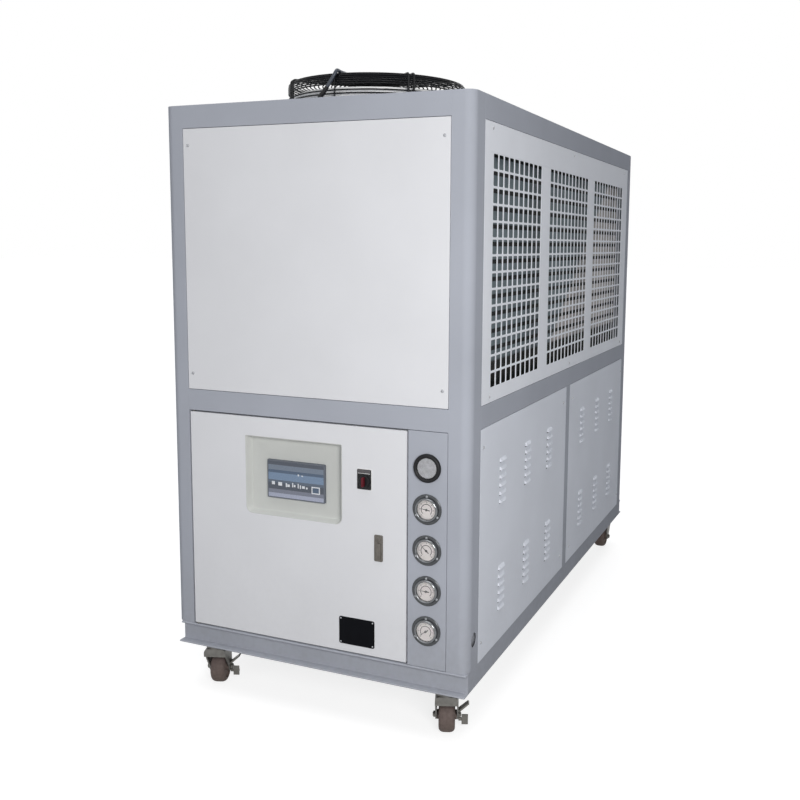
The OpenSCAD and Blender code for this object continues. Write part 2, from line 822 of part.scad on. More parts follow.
module deck() {
    color(galvanised) {
        block([-front_span + deck_gap, -half_d + deck_v, mid_high],
              [front_span - deck_gap, half_d - deck_v, deck_top]);
        block([-half_w + deck_v, -side_span + deck_gap, mid_high],
              [half_w - deck_v, side_span - deck_gap, deck_top]);
    }
}

// Motor lead of each fan, over the guard's rim and down to its gland on the roof
module fan_cables() {
    color(near_black)
    for (i = [0:len(fan_y) - 1])
        translate([0, fan_y[i], cabinet_top]) rotate([0, 0, cable_turns[i]]) {
            tube(cable_route, cable_r);
            translate([gland_u, gland_side, 0]) {
                cylinder(r = 13, h = 8, $fn = 6);
                cylinder(r = 9, h = gland_h);
            }
        }
}

// Sweeps a round tube along points, its corners counted from the sideways direction
module tube(points, r) {
    n = len(points);
    sides = 10;
    rings = [for (i = [0:n - 1]) let (a = points[max(i - 1, 0)], b = points[min(i + 1, n - 1)],
        d = (b - a) / norm(b - a), side = [0, 1, 0] - d[1] * d, p = side / norm(side), q = cross(d, p))
        for (k = [0:sides - 1]) points[i] + r * cos(k * 360 / sides) * p + r * sin(k * 360 / sides) * q];
    faces = concat([[for (k = [0:sides - 1]) k]], [[for (k = [sides - 1:-1:0]) (n - 1) * sides + k]],
        [for (i = [0:n - 2], k = [0:sides - 1]) [i * sides + k, (i + 1) * sides + k,
            (i + 1) * sides + (k + 1) % sides, i * sides + (k + 1) % sides]]);
    polyhedron(rings, faces);
}

// Threaded sockets of the water inlet and outlet
module water_sockets() {
    color(zinc)
    for (place = socket_places)
        on_rear() difference() {
            union() {
                round_v(place[0], place[1], socket_outer_r, -front_reach, socket_deep);
                round_v(place[0], place[1], socket_outer_r + 10, -4, 0);
            }
            round_v(place[0], place[1], socket_r, -front_reach - 1, socket_deep - 10);
        }
}

function caster_places() = [for (sy = [-1, 1], x = [caster_left - half_w, half_w - caster_right])
    [x, sy * (half_d - caster_end)]];

module caster_plates() {
    color(zinc)
    for (place = caster_places())
        translate([place[0], place[1], caster_h]) {
            translate([-caster_plate_x / 2, -caster_plate_y / 2, -caster_plate_t])
                cube([caster_plate_x, caster_plate_y, caster_plate_t]);
            translate([0, 0, -caster_plate_t - race_t - crown_t - 6])
                cylinder(r = kingpin_r, h = race_t + crown_t + 7);
        }
}

// Swivel fork: a race, and a bent plate with a skirt, whose legs run down to the trailing axle
module caster_fork(brake) {
    color(zinc) {
        difference() {
            union() {
                translate([0, 0, fork_top - race_t]) cylinder(r = race_r, h = race_t);
                intersection() {
                    fork_bend();
                    fork_side();
                }
                fork_skirt();
            }
            translate([0, 0, fork_top - 40]) cylinder(r = kingpin_r + pin_clearance, h = 60);
        }
        along_axle() cylinder(r = axle_r, h = 2 * (leg_out + 8), center = true);
        for (s = [-1, 1])
            translate([s * (leg_out + 3), 0, 0]) along_axle() cylinder(r = 10, h = 6, center = true, $fn = 6);
        if (brake) caster_brake();
    }
}

module along_axle() {
    translate([0, -caster_trail, wheel_r]) rotate([0, 90, 0]) children();
}

// The fork's bend seen from the front, drawn through its whole length
module fork_bend() {
    top = fork_top - race_t;
    translate([0, 100, 0]) rotate([90, 0, 0]) linear_extrude(200) difference() {
        bend_outline(leg_out, top, bend_r);
        bend_outline(leg_out - leg_t, top - crown_t, bend_r - leg_t);
    }
}

module bend_outline(w, top, r) {
    translate([-w, 0]) square([2 * w, top - r]);
    translate([r - w, 0]) square([2 * (w - r), top]);
    for (s = [-1, 1]) translate([s * (w - r), top - r]) circle(r = r);
}

// The fork's outline seen from the side, drawn through its whole width
module fork_side() {
    top = fork_top - race_t;
    translate([-leg_out - 1, 0, 0]) rotate([90, 0, 90]) linear_extrude(2 * leg_out + 2) {
        polygon([[-44, top + small], [race_r, top + small], [race_r, top - 14], [12, top - 40],
                 [boss_r - caster_trail, wheel_r], [-boss_r - caster_trail, wheel_r],
                 [-boss_r - caster_trail, wheel_r + 16], [-44, top - 10]]);
        translate([-caster_trail, wheel_r]) circle(r = boss_r);
    }
}

// The skirt between the legs on the leading side
module fork_skirt() {
    top = fork_top - race_t;
    translate([0, race_r, 0]) rotate([90, 0, 0]) linear_extrude(leg_t) intersection() {
        bend_outline(leg_out, top, bend_r);
        translate([-leg_out, top - skirt_h]) square([2 * leg_out, skirt_h]);
    }
}

// Brake on the fork's leg: a pedal that slopes up, a pin and an upright cam plate
module caster_brake() {
    mirror([1, 0, 0]) {
        translate([0, brake_w / 2 - caster_trail, 0]) rotate([90, 0, 0]) linear_extrude(brake_w)
            polygon([[leg_out - small, wheel_r + 13], [leg_out + 4, wheel_r + 13],
                     [leg_out + 31, wheel_r + 37], [leg_out + 28, wheel_r + 40],
                     [leg_out - small, wheel_r + 17]]);
        translate([leg_out - small, -caster_trail, wheel_r - 14]) rotate([0, 90, 0]) cylinder(r = 5, h = 27);
        block([leg_out + 9, 3 - caster_trail, wheel_r - 27], [leg_out + 28, 7 - caster_trail, wheel_r + 3]);
    }
}

// Wheel with a bevelled tread, a sunk face on both sides and a hub as long as the fork is wide
module caster_wheel() {
    color([0.36, 0.31, 0.30])
    along_axle() rotate_extrude()
        polygon([[wheel_bore_r, hub_gap - leg_in], [hub_wheel_r, hub_gap - leg_in],
                 [hub_wheel_r, face_in - wheel_w / 2],
                 [rim_r, face_in - wheel_w / 2], [rim_r + 2, -wheel_w / 2], [wheel_r - 4, -wheel_w / 2],
                 [wheel_r - 1, 4 - wheel_w / 2], [wheel_r, 12 - wheel_w / 2],
                 [wheel_r, wheel_w / 2 - 12], [wheel_r - 1, wheel_w / 2 - 4], [wheel_r - 4, wheel_w / 2],
                 [rim_r + 2, wheel_w / 2], [rim_r, wheel_w / 2 - face_in],
                 [hub_wheel_r, wheel_w / 2 - face_in],
                 [hub_wheel_r, leg_in - hub_gap], [wheel_bore_r, leg_in - hub_gap]]);
}

// Puts a caster under its corner, turned as it stands at rest
module at_corner(i) {
    translate([caster_places()[i][0], caster_places()[i][1], 0]) rotate([0, 0, caster_turns[i]]) children();
}

module caster_fork_front_left() { at_corner(0) caster_fork(true); }
module caster_fork_front_right() { at_corner(1) caster_fork(true); }
module caster_fork_rear_left() { at_corner(2) caster_fork(false); }
module caster_fork_rear_right() { at_corner(3) caster_fork(false); }
module caster_wheel_front_left() { at_corner(0) caster_wheel(); }
module caster_wheel_front_right() { at_corner(1) caster_wheel(); }
module caster_wheel_rear_left() { at_corner(2) caster_wheel(); }
module caster_wheel_rear_right() { at_corner(3) caster_wheel(); }

base_cross_channels();
base_side_channels();
corner_gussets();
floor_pan();
corner_posts();
top_rails();
mid_rails();
side_mullions();
front_upper_panel();
rear_upper_panel();
rear_lower_panel();
gauge_panel();
pressure_gauges();
sight_gauge();
control_door();
display_pan();
touch_screen();
rotary_switch();
door_latch();
nameplate();
door_hinges();
control_box();
grille_right();
grille_left();
louvre_panels_right();
louvre_panels_left();
roof_panel();
fan_rings();
fan_guard_front();
fan_guard_middle();
fan_guard_rear();
fan_motors();
fan_rotor_front();
fan_rotor_middle();
fan_rotor_rear();
condenser_coils();
deck();
fan_cables();
water_sockets();
caster_plates();
caster_fork_front_left();
caster_fork_front_right();
caster_fork_rear_left();
caster_fork_rear_right();
caster_wheel_front_left();
caster_wheel_front_right();
caster_wheel_rear_left();
caster_wheel_rear_right();
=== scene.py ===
"""Looks of an air cooled water chiller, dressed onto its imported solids.

Metres in the frame of the solids: X runs across the front, +Y to the rear, +Z up, the floor is at zero.
"""

import json
import logging
import math
from dataclasses import dataclass, replace
from enum import Enum
from functools import lru_cache

import bmesh
import bpy
import numpy as np
from mathutils import Euler, Matrix, Vector

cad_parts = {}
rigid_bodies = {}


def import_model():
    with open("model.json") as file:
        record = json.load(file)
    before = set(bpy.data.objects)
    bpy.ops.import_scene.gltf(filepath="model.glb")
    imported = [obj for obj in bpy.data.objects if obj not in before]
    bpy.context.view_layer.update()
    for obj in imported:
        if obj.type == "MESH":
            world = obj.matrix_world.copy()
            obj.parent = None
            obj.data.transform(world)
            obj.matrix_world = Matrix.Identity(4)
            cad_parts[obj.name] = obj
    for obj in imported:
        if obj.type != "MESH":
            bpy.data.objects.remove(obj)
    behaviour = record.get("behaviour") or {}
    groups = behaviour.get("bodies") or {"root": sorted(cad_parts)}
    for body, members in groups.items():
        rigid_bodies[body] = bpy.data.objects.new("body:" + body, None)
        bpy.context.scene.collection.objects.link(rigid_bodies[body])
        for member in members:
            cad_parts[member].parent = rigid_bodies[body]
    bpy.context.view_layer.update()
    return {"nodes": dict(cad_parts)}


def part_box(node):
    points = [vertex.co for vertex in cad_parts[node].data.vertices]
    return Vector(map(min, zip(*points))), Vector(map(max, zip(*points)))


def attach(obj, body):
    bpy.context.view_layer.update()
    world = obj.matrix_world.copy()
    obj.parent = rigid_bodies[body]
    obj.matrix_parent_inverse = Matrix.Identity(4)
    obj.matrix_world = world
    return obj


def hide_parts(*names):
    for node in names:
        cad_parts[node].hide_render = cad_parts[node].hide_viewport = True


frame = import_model()

LOG = logging.getLogger("chiller")
MM = 0.001
TURN = 2.0 * math.pi
# Least radius of a drawn corner
LEAST_R = MM / 5
# Corners of a new piece that are closer than this are one
SAME_POINT = MM / 500
# Corners of a solid that are closer than this are one
WELD = MM / 100
# Edges of a solid that turn by more than this get broken
EDGE_DEG = 30.0
# Outer face of the side panels along X
SIDE_FACE = 500 * MM
# Gap between a mullion and the panel beside it
MULLION_GAP = 1.5 * MM
Array = np.ndarray
Pair = tuple[float, float]
Triple = tuple[float, float, float]
Tree = bpy.types.NodeTree
Socket = bpy.types.NodeSocket


@dataclass
class Skin:
    """A surface as arrays.

    Attributes:
        points: places of the corners, one row each.
        faces: groups of faces, one array per group with a row of corner numbers per face.
    """

    points: Array
    faces: list[Array]


@dataclass(frozen=True)
class Place:
    """A local frame on the chiller.

    Attributes:
        origin: where the local zero sits.
        across: direction of the first local axis.
        up: direction of the second local axis.
        out: direction of the third local axis.
    """

    origin: Triple
    across: Triple
    up: Triple
    out: Triple

    def put(self, local: Array) -> Array:
        """Moves local points, whose last axis holds across, up and out, into the shared frame."""
        basis = np.array([self.across, self.up, self.out], dtype=float)
        return np.asarray(local, dtype=float) @ basis + np.array(self.origin, dtype=float)

    def moved(self, across: float, up: float, out: float = 0.0) -> "Place":
        """Gives the same directions at another local point."""
        return replace(self, origin=tuple(self.put(np.array([across, up, out]))))


class Wall(Enum):
    """Sides of the cabinet, each with its across, up and out directions."""

    FRONT = ((1.0, 0.0, 0.0), (0.0, 0.0, 1.0), (0.0, -1.0, 0.0))
    REAR = ((-1.0, 0.0, 0.0), (0.0, 0.0, 1.0), (0.0, 1.0, 0.0))
    RIGHT = ((0.0, 1.0, 0.0), (0.0, 0.0, 1.0), (1.0, 0.0, 0.0))
    LEFT = ((0.0, -1.0, 0.0), (0.0, 0.0, 1.0), (-1.0, 0.0, 0.0))
    ROOF = ((1.0, 0.0, 0.0), (0.0, 1.0, 0.0), (0.0, 0.0, 1.0))

    def at(self, x: float, y: float, z: float) -> Place:
        """Gives the wall's local frame at a point of the shared frame."""
        return Place((x, y, z), *self.value)

    def named(self, stem: str) -> str:
        """Gives the name of a solid or piece on this side."""
        return stem + "_" + self.name.lower()


SIDES = (Wall.RIGHT, Wall.LEFT)


def join(skins: list[Skin]) -> Skin:
    """Puts several surfaces into one.

    Args:
        skins: the surfaces.

    Returns:
        One surface whose corner numbers follow on from each other.
    """
    starts = np.cumsum([0] + [len(skin.points) for skin in skins[:-1]])
    faces = [group + start for skin, start in zip(skins, starts) for group in skin.faces]
    return Skin(np.concatenate([skin.points for skin in skins]), faces)


def copies(points: Array, faces: list[Array]) -> Skin:
    """Makes one surface of moved copies.

    Args:
        points: corners of every copy, copies by corners by three.
        faces: groups of faces of one copy.

    Returns:
        All copies as one surface.
    """
    starts = np.arange(len(points)) * points.shape[1]
    numbers = [(starts[:, None, None] + group).reshape(-1, group.shape[1]) for group in faces]
    return Skin(points.reshape(-1, 3), numbers)


def repeated(skin: Skin, shifts: Array) -> Skin:
    """Copies a surface to several places, given as rows of X, Y and Z."""
    return copies(np.asarray(shifts, dtype=float)[:, None] + skin.points, skin.faces)


def spun(skin: Skin, centre: Triple, angles: Array) -> Skin:
    """Copies a surface round a vertical axis.

    Args:
        skin: the surface.
        centre: a point of the axis.
        angles: turn of each copy in radians.

    Returns:
        All copies as one surface.
    """
    arm = skin.points - np.array(centre)
    cos, sin = np.cos(angles)[:, None], np.sin(angles)[:, None]
    x = cos * arm[:, 0] - sin * arm[:, 1]
    y = sin * arm[:, 0] + cos * arm[:, 1]
    z = np.broadcast_to(arm[:, 2], x.shape)
    return copies(np.stack([x, y, z], axis=-1) + np.array(centre), skin.faces)


def woven(points: Array, close_rows: bool = False, close_columns: bool = False, caps: bool = False) -> Skin:
    """Turns a grid of points into quads.

    Each quad joins a point, the next one in its row and the same two in the next row.

    Args:
        points: grid of points, rows by columns by three.
        close_rows: joins the last row to the first.
        close_columns: joins the last column to the first.
        caps: closes the first and last rows with one face each.

    Returns:
        The surface.
    """
    rows, columns = points.shape[:2]
    index = np.arange(rows * columns).reshape(rows, columns)
    ahead = np.roll(index, -1, axis=0)
    low = index if close_rows else index[:-1]
    high = ahead if close_rows else ahead[:-1]
    stop = columns if close_columns else columns - 1
    corners = [low, np.roll(low, -1, axis=1), np.roll(high, -1, axis=1), high]
    faces = [np.stack([corner[:, :stop] for corner in corners], axis=-1).reshape(-1, 4)]
    if caps:
        faces.append(np.stack([index[0][::-1], index[-1]]))
    return Skin(points.reshape(-1, 3), faces)


def from_mm(pairs: list[Pair]) -> list[Pair]:
    """Turns pairs of millimetres into metres."""
    return [(a * MM, b * MM) for a, b in pairs]


def raised(outline: Array, rise: float) -> Array:
    """Gives each point of a flat outline the same height."""
    return np.concatenate([outline, np.full((len(outline), 1), rise)], axis=1)


def turned(place: Place, profile: list[Pair], segments: int = 48) -> Skin:
    """Turns a profile about the out direction of a place.

    A point is the profile's radius along a direction that goes round, plus its height along out.

    Args:
        place: centre and directions.
        profile: pairs of radius and height.
        segments: steps round the circle.

    Returns:
        The surface, closed where the profile starts and ends on the axis.
    """
    steps = np.array(profile, dtype=float)
    angle = np.linspace(0.0, TURN, segments, endpoint=False)
    flat = steps[:, 0, None, None] * np.stack([np.cos(angle), np.sin(angle)], axis=-1)
    height = np.broadcast_to(steps[:, 1, None, None], (len(steps), segments, 1))
    return woven(place.put(np.concatenate([flat, height], axis=-1)), close_columns=True)


def swept(path: Array, normal: Array, radius: float | Array, sides: int = 8, closed: bool = False) -> Skin:
    """Draws a round bar along a path.

    A point is the path's point plus the radius along a mix of two directions square to the path: the normal
    without its share along the path, and the direction square to both.

    Args:
        path: points of the centre line.
        normal: unit normal of the path's plane, or a direction that the path never takes.
        radius: radius of the bar, or its radius at each point of the path.
        sides: corners of its section.
        closed: joins the end to the start, else both ends get a face.

    Returns:
        The surface.
    """
    ahead = np.roll(path, -1, axis=0) - np.roll(path, 1, axis=0) if closed else np.gradient(path, axis=0)
    ahead = ahead / np.linalg.norm(ahead, axis=1, keepdims=True)
    across = normal - (ahead @ normal)[:, None] * ahead
    across = across / np.linalg.norm(across, axis=1, keepdims=True)
    side = np.cross(ahead, across)
    angle = np.linspace(0.0, TURN, sides, endpoint=False)[None, :, None]
    ray = np.cos(angle) * across[:, None] + np.sin(angle) * side[:, None]
    points = path[:, None] + np.reshape(radius, (-1, 1, 1)) * ray
    return woven(points, close_rows=closed, close_columns=True, caps=not closed)


def smoothed(points: Array, steps: int = 6) -> Array:
    """Draws one smooth curve through points.

    Between two points the curve is a cubic, whose direction at each point is that from the point before it to
    the point after it.

    Args:
        points: the points.
        steps: pieces between two points.

    Returns:
        The points of the curve.
    """
    first, last = 2 * points[:1] - points[1:2], 2 * points[-1:] - points[-2:-1]
    line = np.concatenate([first, points, last])[:, None]
    start, end = line[1:-2], line[2:-1]
    leave, arrive = (end - line[:-3]) / 2, (line[3:] - start) / 2
    share = np.linspace(0.0, 1.0, steps, endpoint=False)[None, :, None]
    square = 3 * (end - start) - 2 * leave - arrive
    cube = 2 * (start - end) + leave + arrive
    curve = start + share * leave + share ** 2 * square + share ** 3 * cube
    return np.concatenate([curve.reshape(-1, 3), points[-1:]])


def rounded(width: float, height: float, low_r: float, top_r: float, arc: int = 6) -> Array:
    """Gives the outline of a rectangle with rounded corners.

    A point is a corner's centre plus its radius along a direction that goes through a quarter turn.

    Args:
        width: size across.
        height: size up.
        low_r: radius of the two lower corners.
        top_r: radius of the two upper corners.
        arc: points per corner.

    Returns:
        Points across and up, counter-clockwise from the right upper corner.
    """
    radius = np.array([top_r, top_r, low_r, low_r])
    sign = np.array([[1, 1], [-1, 1], [-1, -1], [1, -1]], dtype=float)
    centre = sign * (np.array([width, height]) / 2.0 - radius[:, None])
    angle = np.arange(4)[:, None] * TURN / 4 + np.linspace(0.0, TURN / 4, arc)
    ring = np.stack([np.cos(angle), np.sin(angle)], axis=-1)
    return (centre[:, None] + radius[:, None, None] * ring).reshape(-1, 2)


def slab(place: Place, width: float, height: float, radii: Pair, steps: list[Pair], arc: int = 6) -> Skin:
    """Lofts a rounded rectangle through steps of inset and height.

    Each step is the outline drawn in by its inset, at its height along out. Faces close both ends.

    Args:
        place: centre and directions.
        width: size across.
        height: size up.
        radii: radius of the lower and of the upper corners.
        steps: pairs of inset and height.
        arc: points per corner.

    Returns:
        The closed surface.
    """
    rings = []
    for inset, rise in steps:
        low_r, top_r = (max(radius - inset, LEAST_R) for radius in radii)
        rings.append(raised(rounded(width - 2 * inset, height - 2 * inset, low_r, top_r, arc), rise))
    return woven(place.put(np.stack(rings)), close_columns=True, caps=True)


def plate_steps(thick_mm: float, edge_mm: float) -> list[Pair]:
    """Gives the steps of a flat plate with a rounded front edge.

    The edge is a quarter circle of the given radius between the side and the face.

    Args:
        thick_mm: height of the face over the back.
        edge_mm: radius of the edge.

    Returns:
        Pairs of inset and height for slab().
    """
    angle = np.linspace(0.0, TURN / 4, 4)
    ring = np.stack([edge_mm * (1 - np.cos(angle)), thick_mm - edge_mm * (1 - np.sin(angle))], axis=1)
    return [(0.0, 0.0)] + from_mm(ring.tolist())


def circle(centre: Triple, radius: float, segments: int) -> Array:
    """Gives a level circle of points.

    Args:
        centre: its centre.
        radius: its radius.
        segments: number of points.

    Returns:
        The points, one row each.
    """
    angle = np.linspace(0.0, TURN, segments, endpoint=False)
    flat = np.stack([np.cos(angle), np.sin(angle), np.zeros(segments)], axis=1)
    return np.array(centre) + radius * flat


def crossings(face: float, along: Array, up: Array) -> Array:
    """Gives each crossing of places along a side wall and heights up it, as rows of X, Y and Z."""
    y, z = np.meshgrid(along, up, indexing="ij")
    return np.stack([np.full(y.size, face), y.ravel(), z.ravel()], axis=1)


def lower_spans(node: str) -> tuple[Pair, Pair]:
    """Finds the two lower panels of a side, which a mullion parts.

    Args:
        node: the solid that holds both panels.

    Returns:
        The ends of each panel along Y.
    """
    low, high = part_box(node)
    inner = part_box("side_mullions")[1].y + MULLION_GAP
    return (low.y, -inner), (inner, high.y)


def linear(code: str) -> tuple[float, float, float, float]:
    """Turns an sRGB hex colour into the linear colour that shaders use.

    Args:
        code: six hex digits.

    Returns:
        Red, green, blue and alpha.
    """
    value = np.array([int(code[i:i + 2], 16) for i in (0, 2, 4)]) / 255.0
    value = np.where(value <= 0.04045, value / 12.92, ((value + 0.055) / 1.055) ** 2.4)
    return float(value[0]), float(value[1]), float(value[2]), 1.0


def add(tree: Tree, kind: str, inputs: dict | None = None, **settings: object) -> bpy.types.Node:
    """Adds a shader node.

    Args:
        tree: the node tree.
        kind: type name of the node.
        inputs: sockets to link or values to set, by input name or number.
        settings: attributes of the node.

    Returns:
        The node.
    """
    node = tree.nodes.new(kind)
    for key, value in settings.items():
        setattr(node, key, value)
    for key, value in (inputs or {}).items():
        if isinstance(value, bpy.types.NodeSocket):
            tree.links.new(value, node.inputs[key])
        else:
            node.inputs[key].default_value = value
    return node


@dataclass(frozen=True)
class Finish:
    """A surface finish: a colour with blotches, a fine grain, uneven gloss and dust near the floor.

    Attributes:
        name: the real material.
        slot: the record's material slot; not used.
        colour: sRGB hex colour.
        metallic: one for bare metal.
        roughness: mean roughness.
        swing: how far the roughness goes up and down.
        mirror: how strongly the surface mirrors, with one half for common plastic.
        blotch_mm: size of the colour's blotches.
        blotch: share by which blotches darken and lighten.
        grain_mm: size of the surface grain, drawn coarser than the real one where that is too fine to show.
        grain_depth_mm: depth of the grain.
        stretch: how far the grain is drawn out along X, Y and Z.
        dust: sRGB hex colour of the dust.
        dust_mm: size of the dust's specks.
        dust_top: height up to which dust lies.
        dust_share: how much the dust covers at the floor.
        glow: strength of the colour's own light.
    """

    name: str
    slot: str
    colour: str
    metallic: float = 0.0
    roughness: float = 0.5
    swing: float = 0.06
    mirror: float = 0.5
    blotch_mm: float = 240.0
    blotch: float = 0.03
    grain_mm: float = 1.6
    grain_depth_mm: float = 0.03
    stretch: Triple = (1.0, 1.0, 1.0)
    dust: str = "6E675C"
    dust_mm: float = 18.0
    dust_top: float = 0.35
    dust_share: float = 0.0
    glow: float = 0.0

    def material(self) -> bpy.types.Material:
        """Builds the material.

        Returns:
            A material whose pattern sits in the frame of the solids.
        """
        made = bpy.data.materials.new(self.name)
        made.use_nodes = True
        tree = made.node_tree
        shader = tree.nodes["Principled BSDF"]
        where = add(tree, "ShaderNodeTexCoord").outputs["Object"]
        self.wire(tree, shader, where, self.tint(tree, where))
        return made

    def tint(self, tree: Tree, where: Socket) -> Socket:
        """Mixes the colour: blotches first, then dust that thins out upwards.

        Args:
            tree: the node tree.
            where: coordinates.

        Returns:
            The colour socket.
        """
        base = np.array(linear(self.colour)[:3])
        dark = (*np.clip(base * (1 - self.blotch), 0, 1), 1.0)
        pale = (*np.clip(base * (1 + self.blotch), 0, 1), 1.0)
        cloud = add(tree, "ShaderNodeTexNoise",
                    {"Vector": where, "Scale": 1 / (self.blotch_mm * MM), "Detail": 4.0})
        share = add(tree, "ShaderNodeMapRange",
                    {"Value": cloud.outputs["Fac"], "From Min": 0.3, "From Max": 0.7})
        mixed = add(tree, "ShaderNodeMixRGB",
                    {"Fac": share.outputs["Result"], "Color1": dark, "Color2": pale})
        if self.dust_share == 0.0:
            return mixed.outputs["Color"]
        height = add(tree, "ShaderNodeSeparateXYZ", {"Vector": where}).outputs["Z"]
        low = add(tree, "ShaderNodeMapRange", {"Value": height, "From Min": 0.0, "From Max": self.dust_top,
                                               "To Min": self.dust_share, "To Max": 0.0})
        speck = add(tree, "ShaderNodeTexNoise",
                    {"Vector": where, "Scale": 1 / (self.dust_mm * MM), "Detail": 6.0})
        cover = add(tree, "ShaderNodeMath", {0: low.outputs["Result"], 1: speck.outputs["Fac"]},
                    operation="MULTIPLY")
        dusty = add(tree, "ShaderNodeMixRGB", {"Fac": cover.outputs["Value"], "Color2": linear(self.dust),
                                               "Color1": mixed.outputs["Color"]})
        return dusty.outputs["Color"]

    def wire(self, tree: Tree, shader: bpy.types.Node, where: Socket, colour: Socket) -> None:
        """Links colour, uneven gloss and grain to the shader.

        Args:
            tree: the node tree.
            shader: the main shader.
            where: coordinates.
            colour: the colour socket.
        """
        drawn = add(tree, "ShaderNodeVectorMath", {0: where, 1: self.stretch}, operation="MULTIPLY")
        grain = add(tree, "ShaderNodeTexNoise", {"Vector": drawn.outputs["Vector"], "Detail": 3.0,
                                                 "Scale": 1 / (self.grain_mm * MM)})
        gloss = add(tree, "ShaderNodeMapRange", {"Value": grain.outputs["Fac"], "From Min": 0.3,
                                                 "From Max": 0.7, "To Min": self.roughness - self.swing,
                                                 "To Max": self.roughness + self.swing})
        bump = add(tree, "ShaderNodeBump", {"Height": grain.outputs["Fac"], "Strength": 1.0,
                                            "Distance": self.grain_depth_mm * MM})
        tree.links.new(colour, shader.inputs["Base Color"])
        tree.links.new(gloss.outputs["Result"], shader.inputs["Roughness"])
        tree.links.new(bump.outputs["Normal"], shader.inputs["Normal"])
        shader.inputs["Metallic"].default_value = self.metallic
        shader.inputs["Specular IOR Level"].default_value = self.mirror
        if self.glow:
            tree.links.new(colour, shader.inputs["Emission Color"])
            shader.inputs["Emission Strength"].default_value = self.glow


@dataclass(frozen=True)
class FinStock(Finish):
    """Finned coil face: fine upright fins crossed by painted shade lines at the spacing of the tube rows.

    A pale patch of painted light lies to the rear, below a slanting edge, and painted shade darkens the foot.

    Attributes:
        pitch_mm: spacing of the painted shade lines, which follow the tube rows.
        first_mm: height of the middle of one painted shade line, from which the others are counted.
        line: share of the spacing that is painted in shade.
        line_soft: share of the spacing over which the painted shade fades.
        shade: sRGB hex colour of the painted shade, in the lines and between the fins.
        fin_mm: spacing of the fins, drawn coarser than the real one so that they show.
        fin_painted_shade: how much painted shade lies between two fins.
        painted_light: sRGB hex colour of the fins where the painted light lies.
        painted_light_mm: height of the painted light's edge at the middle of the coil.
        painted_light_soft_mm: height over which the painted light fades.
        painted_light_slope: rise of that edge towards the rear.
        shaded_foot_mm: height of the upper edge of the painted shade at the foot.
        shaded_foot_soft_mm: height over which that edge fades.
        foot: sRGB hex colour of the painted shade at the foot.
    """

    pitch_mm: float = 51.7
    first_mm: float = 28.1
    line: float = 0.2
    line_soft: float = 0.06
    # Painted shade: dark lines up the coil and dark strokes between the fins
    shade: str = "030608"
    fin_mm: float = 2.4
    fin_painted_shade: float = 0.35
    # Painted light: a pale patch where light falls on the rear of the coil, below a slanting edge
    painted_light: str = "CEC8C6"
    painted_light_mm: float = 1161.5
    painted_light_soft_mm: float = 20.0
    painted_light_slope: float = 0.707
    # Painted shade: the lowest part of the coil is darkened
    shaded_foot_mm: float = 1080.0
    shaded_foot_soft_mm: float = 8.0
    foot: str = "1A1715"

    def tint(self, tree: Tree, where: Socket) -> Socket:
        """Mixes the colour: painted shade lines up the coil and between the fins, over painted light and a
        foot in painted shade.

        Args:
            tree: the node tree.
            where: coordinates.

        Returns:
            The colour socket.
        """
        parts = add(tree, "ShaderNodeSeparateXYZ", {"Vector": where}).outputs
        ramp = add(tree, "ShaderNodeMath", {0: parts["Y"], 1: self.painted_light_slope}, operation="MULTIPLY")
        level = add(tree, "ShaderNodeMath", {0: parts["Z"], 1: ramp.outputs["Value"]}, operation="SUBTRACT")
        start = (self.first_mm - self.pitch_mm / 2) * MM
        lift = add(tree, "ShaderNodeMath", {0: parts["Z"], 1: start}, operation="SUBTRACT")
        rows = add(tree, "ShaderNodeMath", {0: lift.outputs["Value"], 1: self.pitch_mm * MM},
                   operation="DIVIDE")
        phase = add(tree, "ShaderNodeMath", {0: rows.outputs["Value"]}, operation="FRACT")
        off = add(tree, "ShaderNodeMath", {0: phase.outputs["Value"], 1: 0.5}, operation="SUBTRACT")
        away = add(tree, "ShaderNodeMath", {0: off.outputs["Value"]}, operation="ABSOLUTE")
        turns = add(tree, "ShaderNodeMath", {0: parts["Y"], 1: TURN / (self.fin_mm * MM)},
                    operation="MULTIPLY")
        wave = add(tree, "ShaderNodeMath", {0: turns.outputs["Value"]}, operation="SINE")
        painted_light, foot, edge = self.painted_light_mm * MM, self.shaded_foot_mm * MM, self.line / 2
        # Layers: a pale patch of painted light, painted shade at the foot, painted shade lines and painted
        # shade between the fins
        layers = ((self.painted_light, level.outputs["Value"], painted_light - self.painted_light_soft_mm * MM, painted_light, 1.0),
                  (self.foot, parts["Z"], foot - self.shaded_foot_soft_mm * MM, foot, 1.0),
                  (self.shade, away.outputs["Value"], edge, edge + self.line_soft, 1.0),
                  (self.shade, wave.outputs["Value"], 1.0, -1.0, self.fin_painted_shade))
        colour = super().tint(tree, where)
        # Each layer covers most where its value is at full, and nothing where it is at bare
        for code, value, full, bare, most in layers:
            share = add(tree, "ShaderNodeMapRange", {"Value": value, "From Min": full, "From Max": bare,
                                                     "To Min": most, "To Max": 0.0})
            colour = add(tree, "ShaderNodeMixRGB", {"Fac": share.outputs["Result"], "Color1": colour,
                                                    "Color2": linear(code)}).outputs["Color"]
        return colour


@dataclass(frozen=True)
class Glazing(Finish):
    """Clear glass with a trace of uneven gloss.

    Attributes:
        ior: refractive index.
    """

    ior: float = 1.45

    def material(self) -> bpy.types.Material:
        """Builds the glass.

        Returns:
            A clear material.
        """
        made = super().material()
        shader = made.node_tree.nodes["Principled BSDF"]
        shader.inputs["Transmission Weight"].default_value = 1.0
        shader.inputs["IOR"].default_value = self.ior
        return made


def lit(shade: str, code: str) -> Finish:
    """Gives the finish of a lit part of the display, from the name of its shade and its sRGB hex colour."""
    return Finish("lit " + shade + " band", "screen", code, roughness=0.3, mirror=0.3, blotch_mm=3.0,
                  blotch=0.14, glow=0.1)


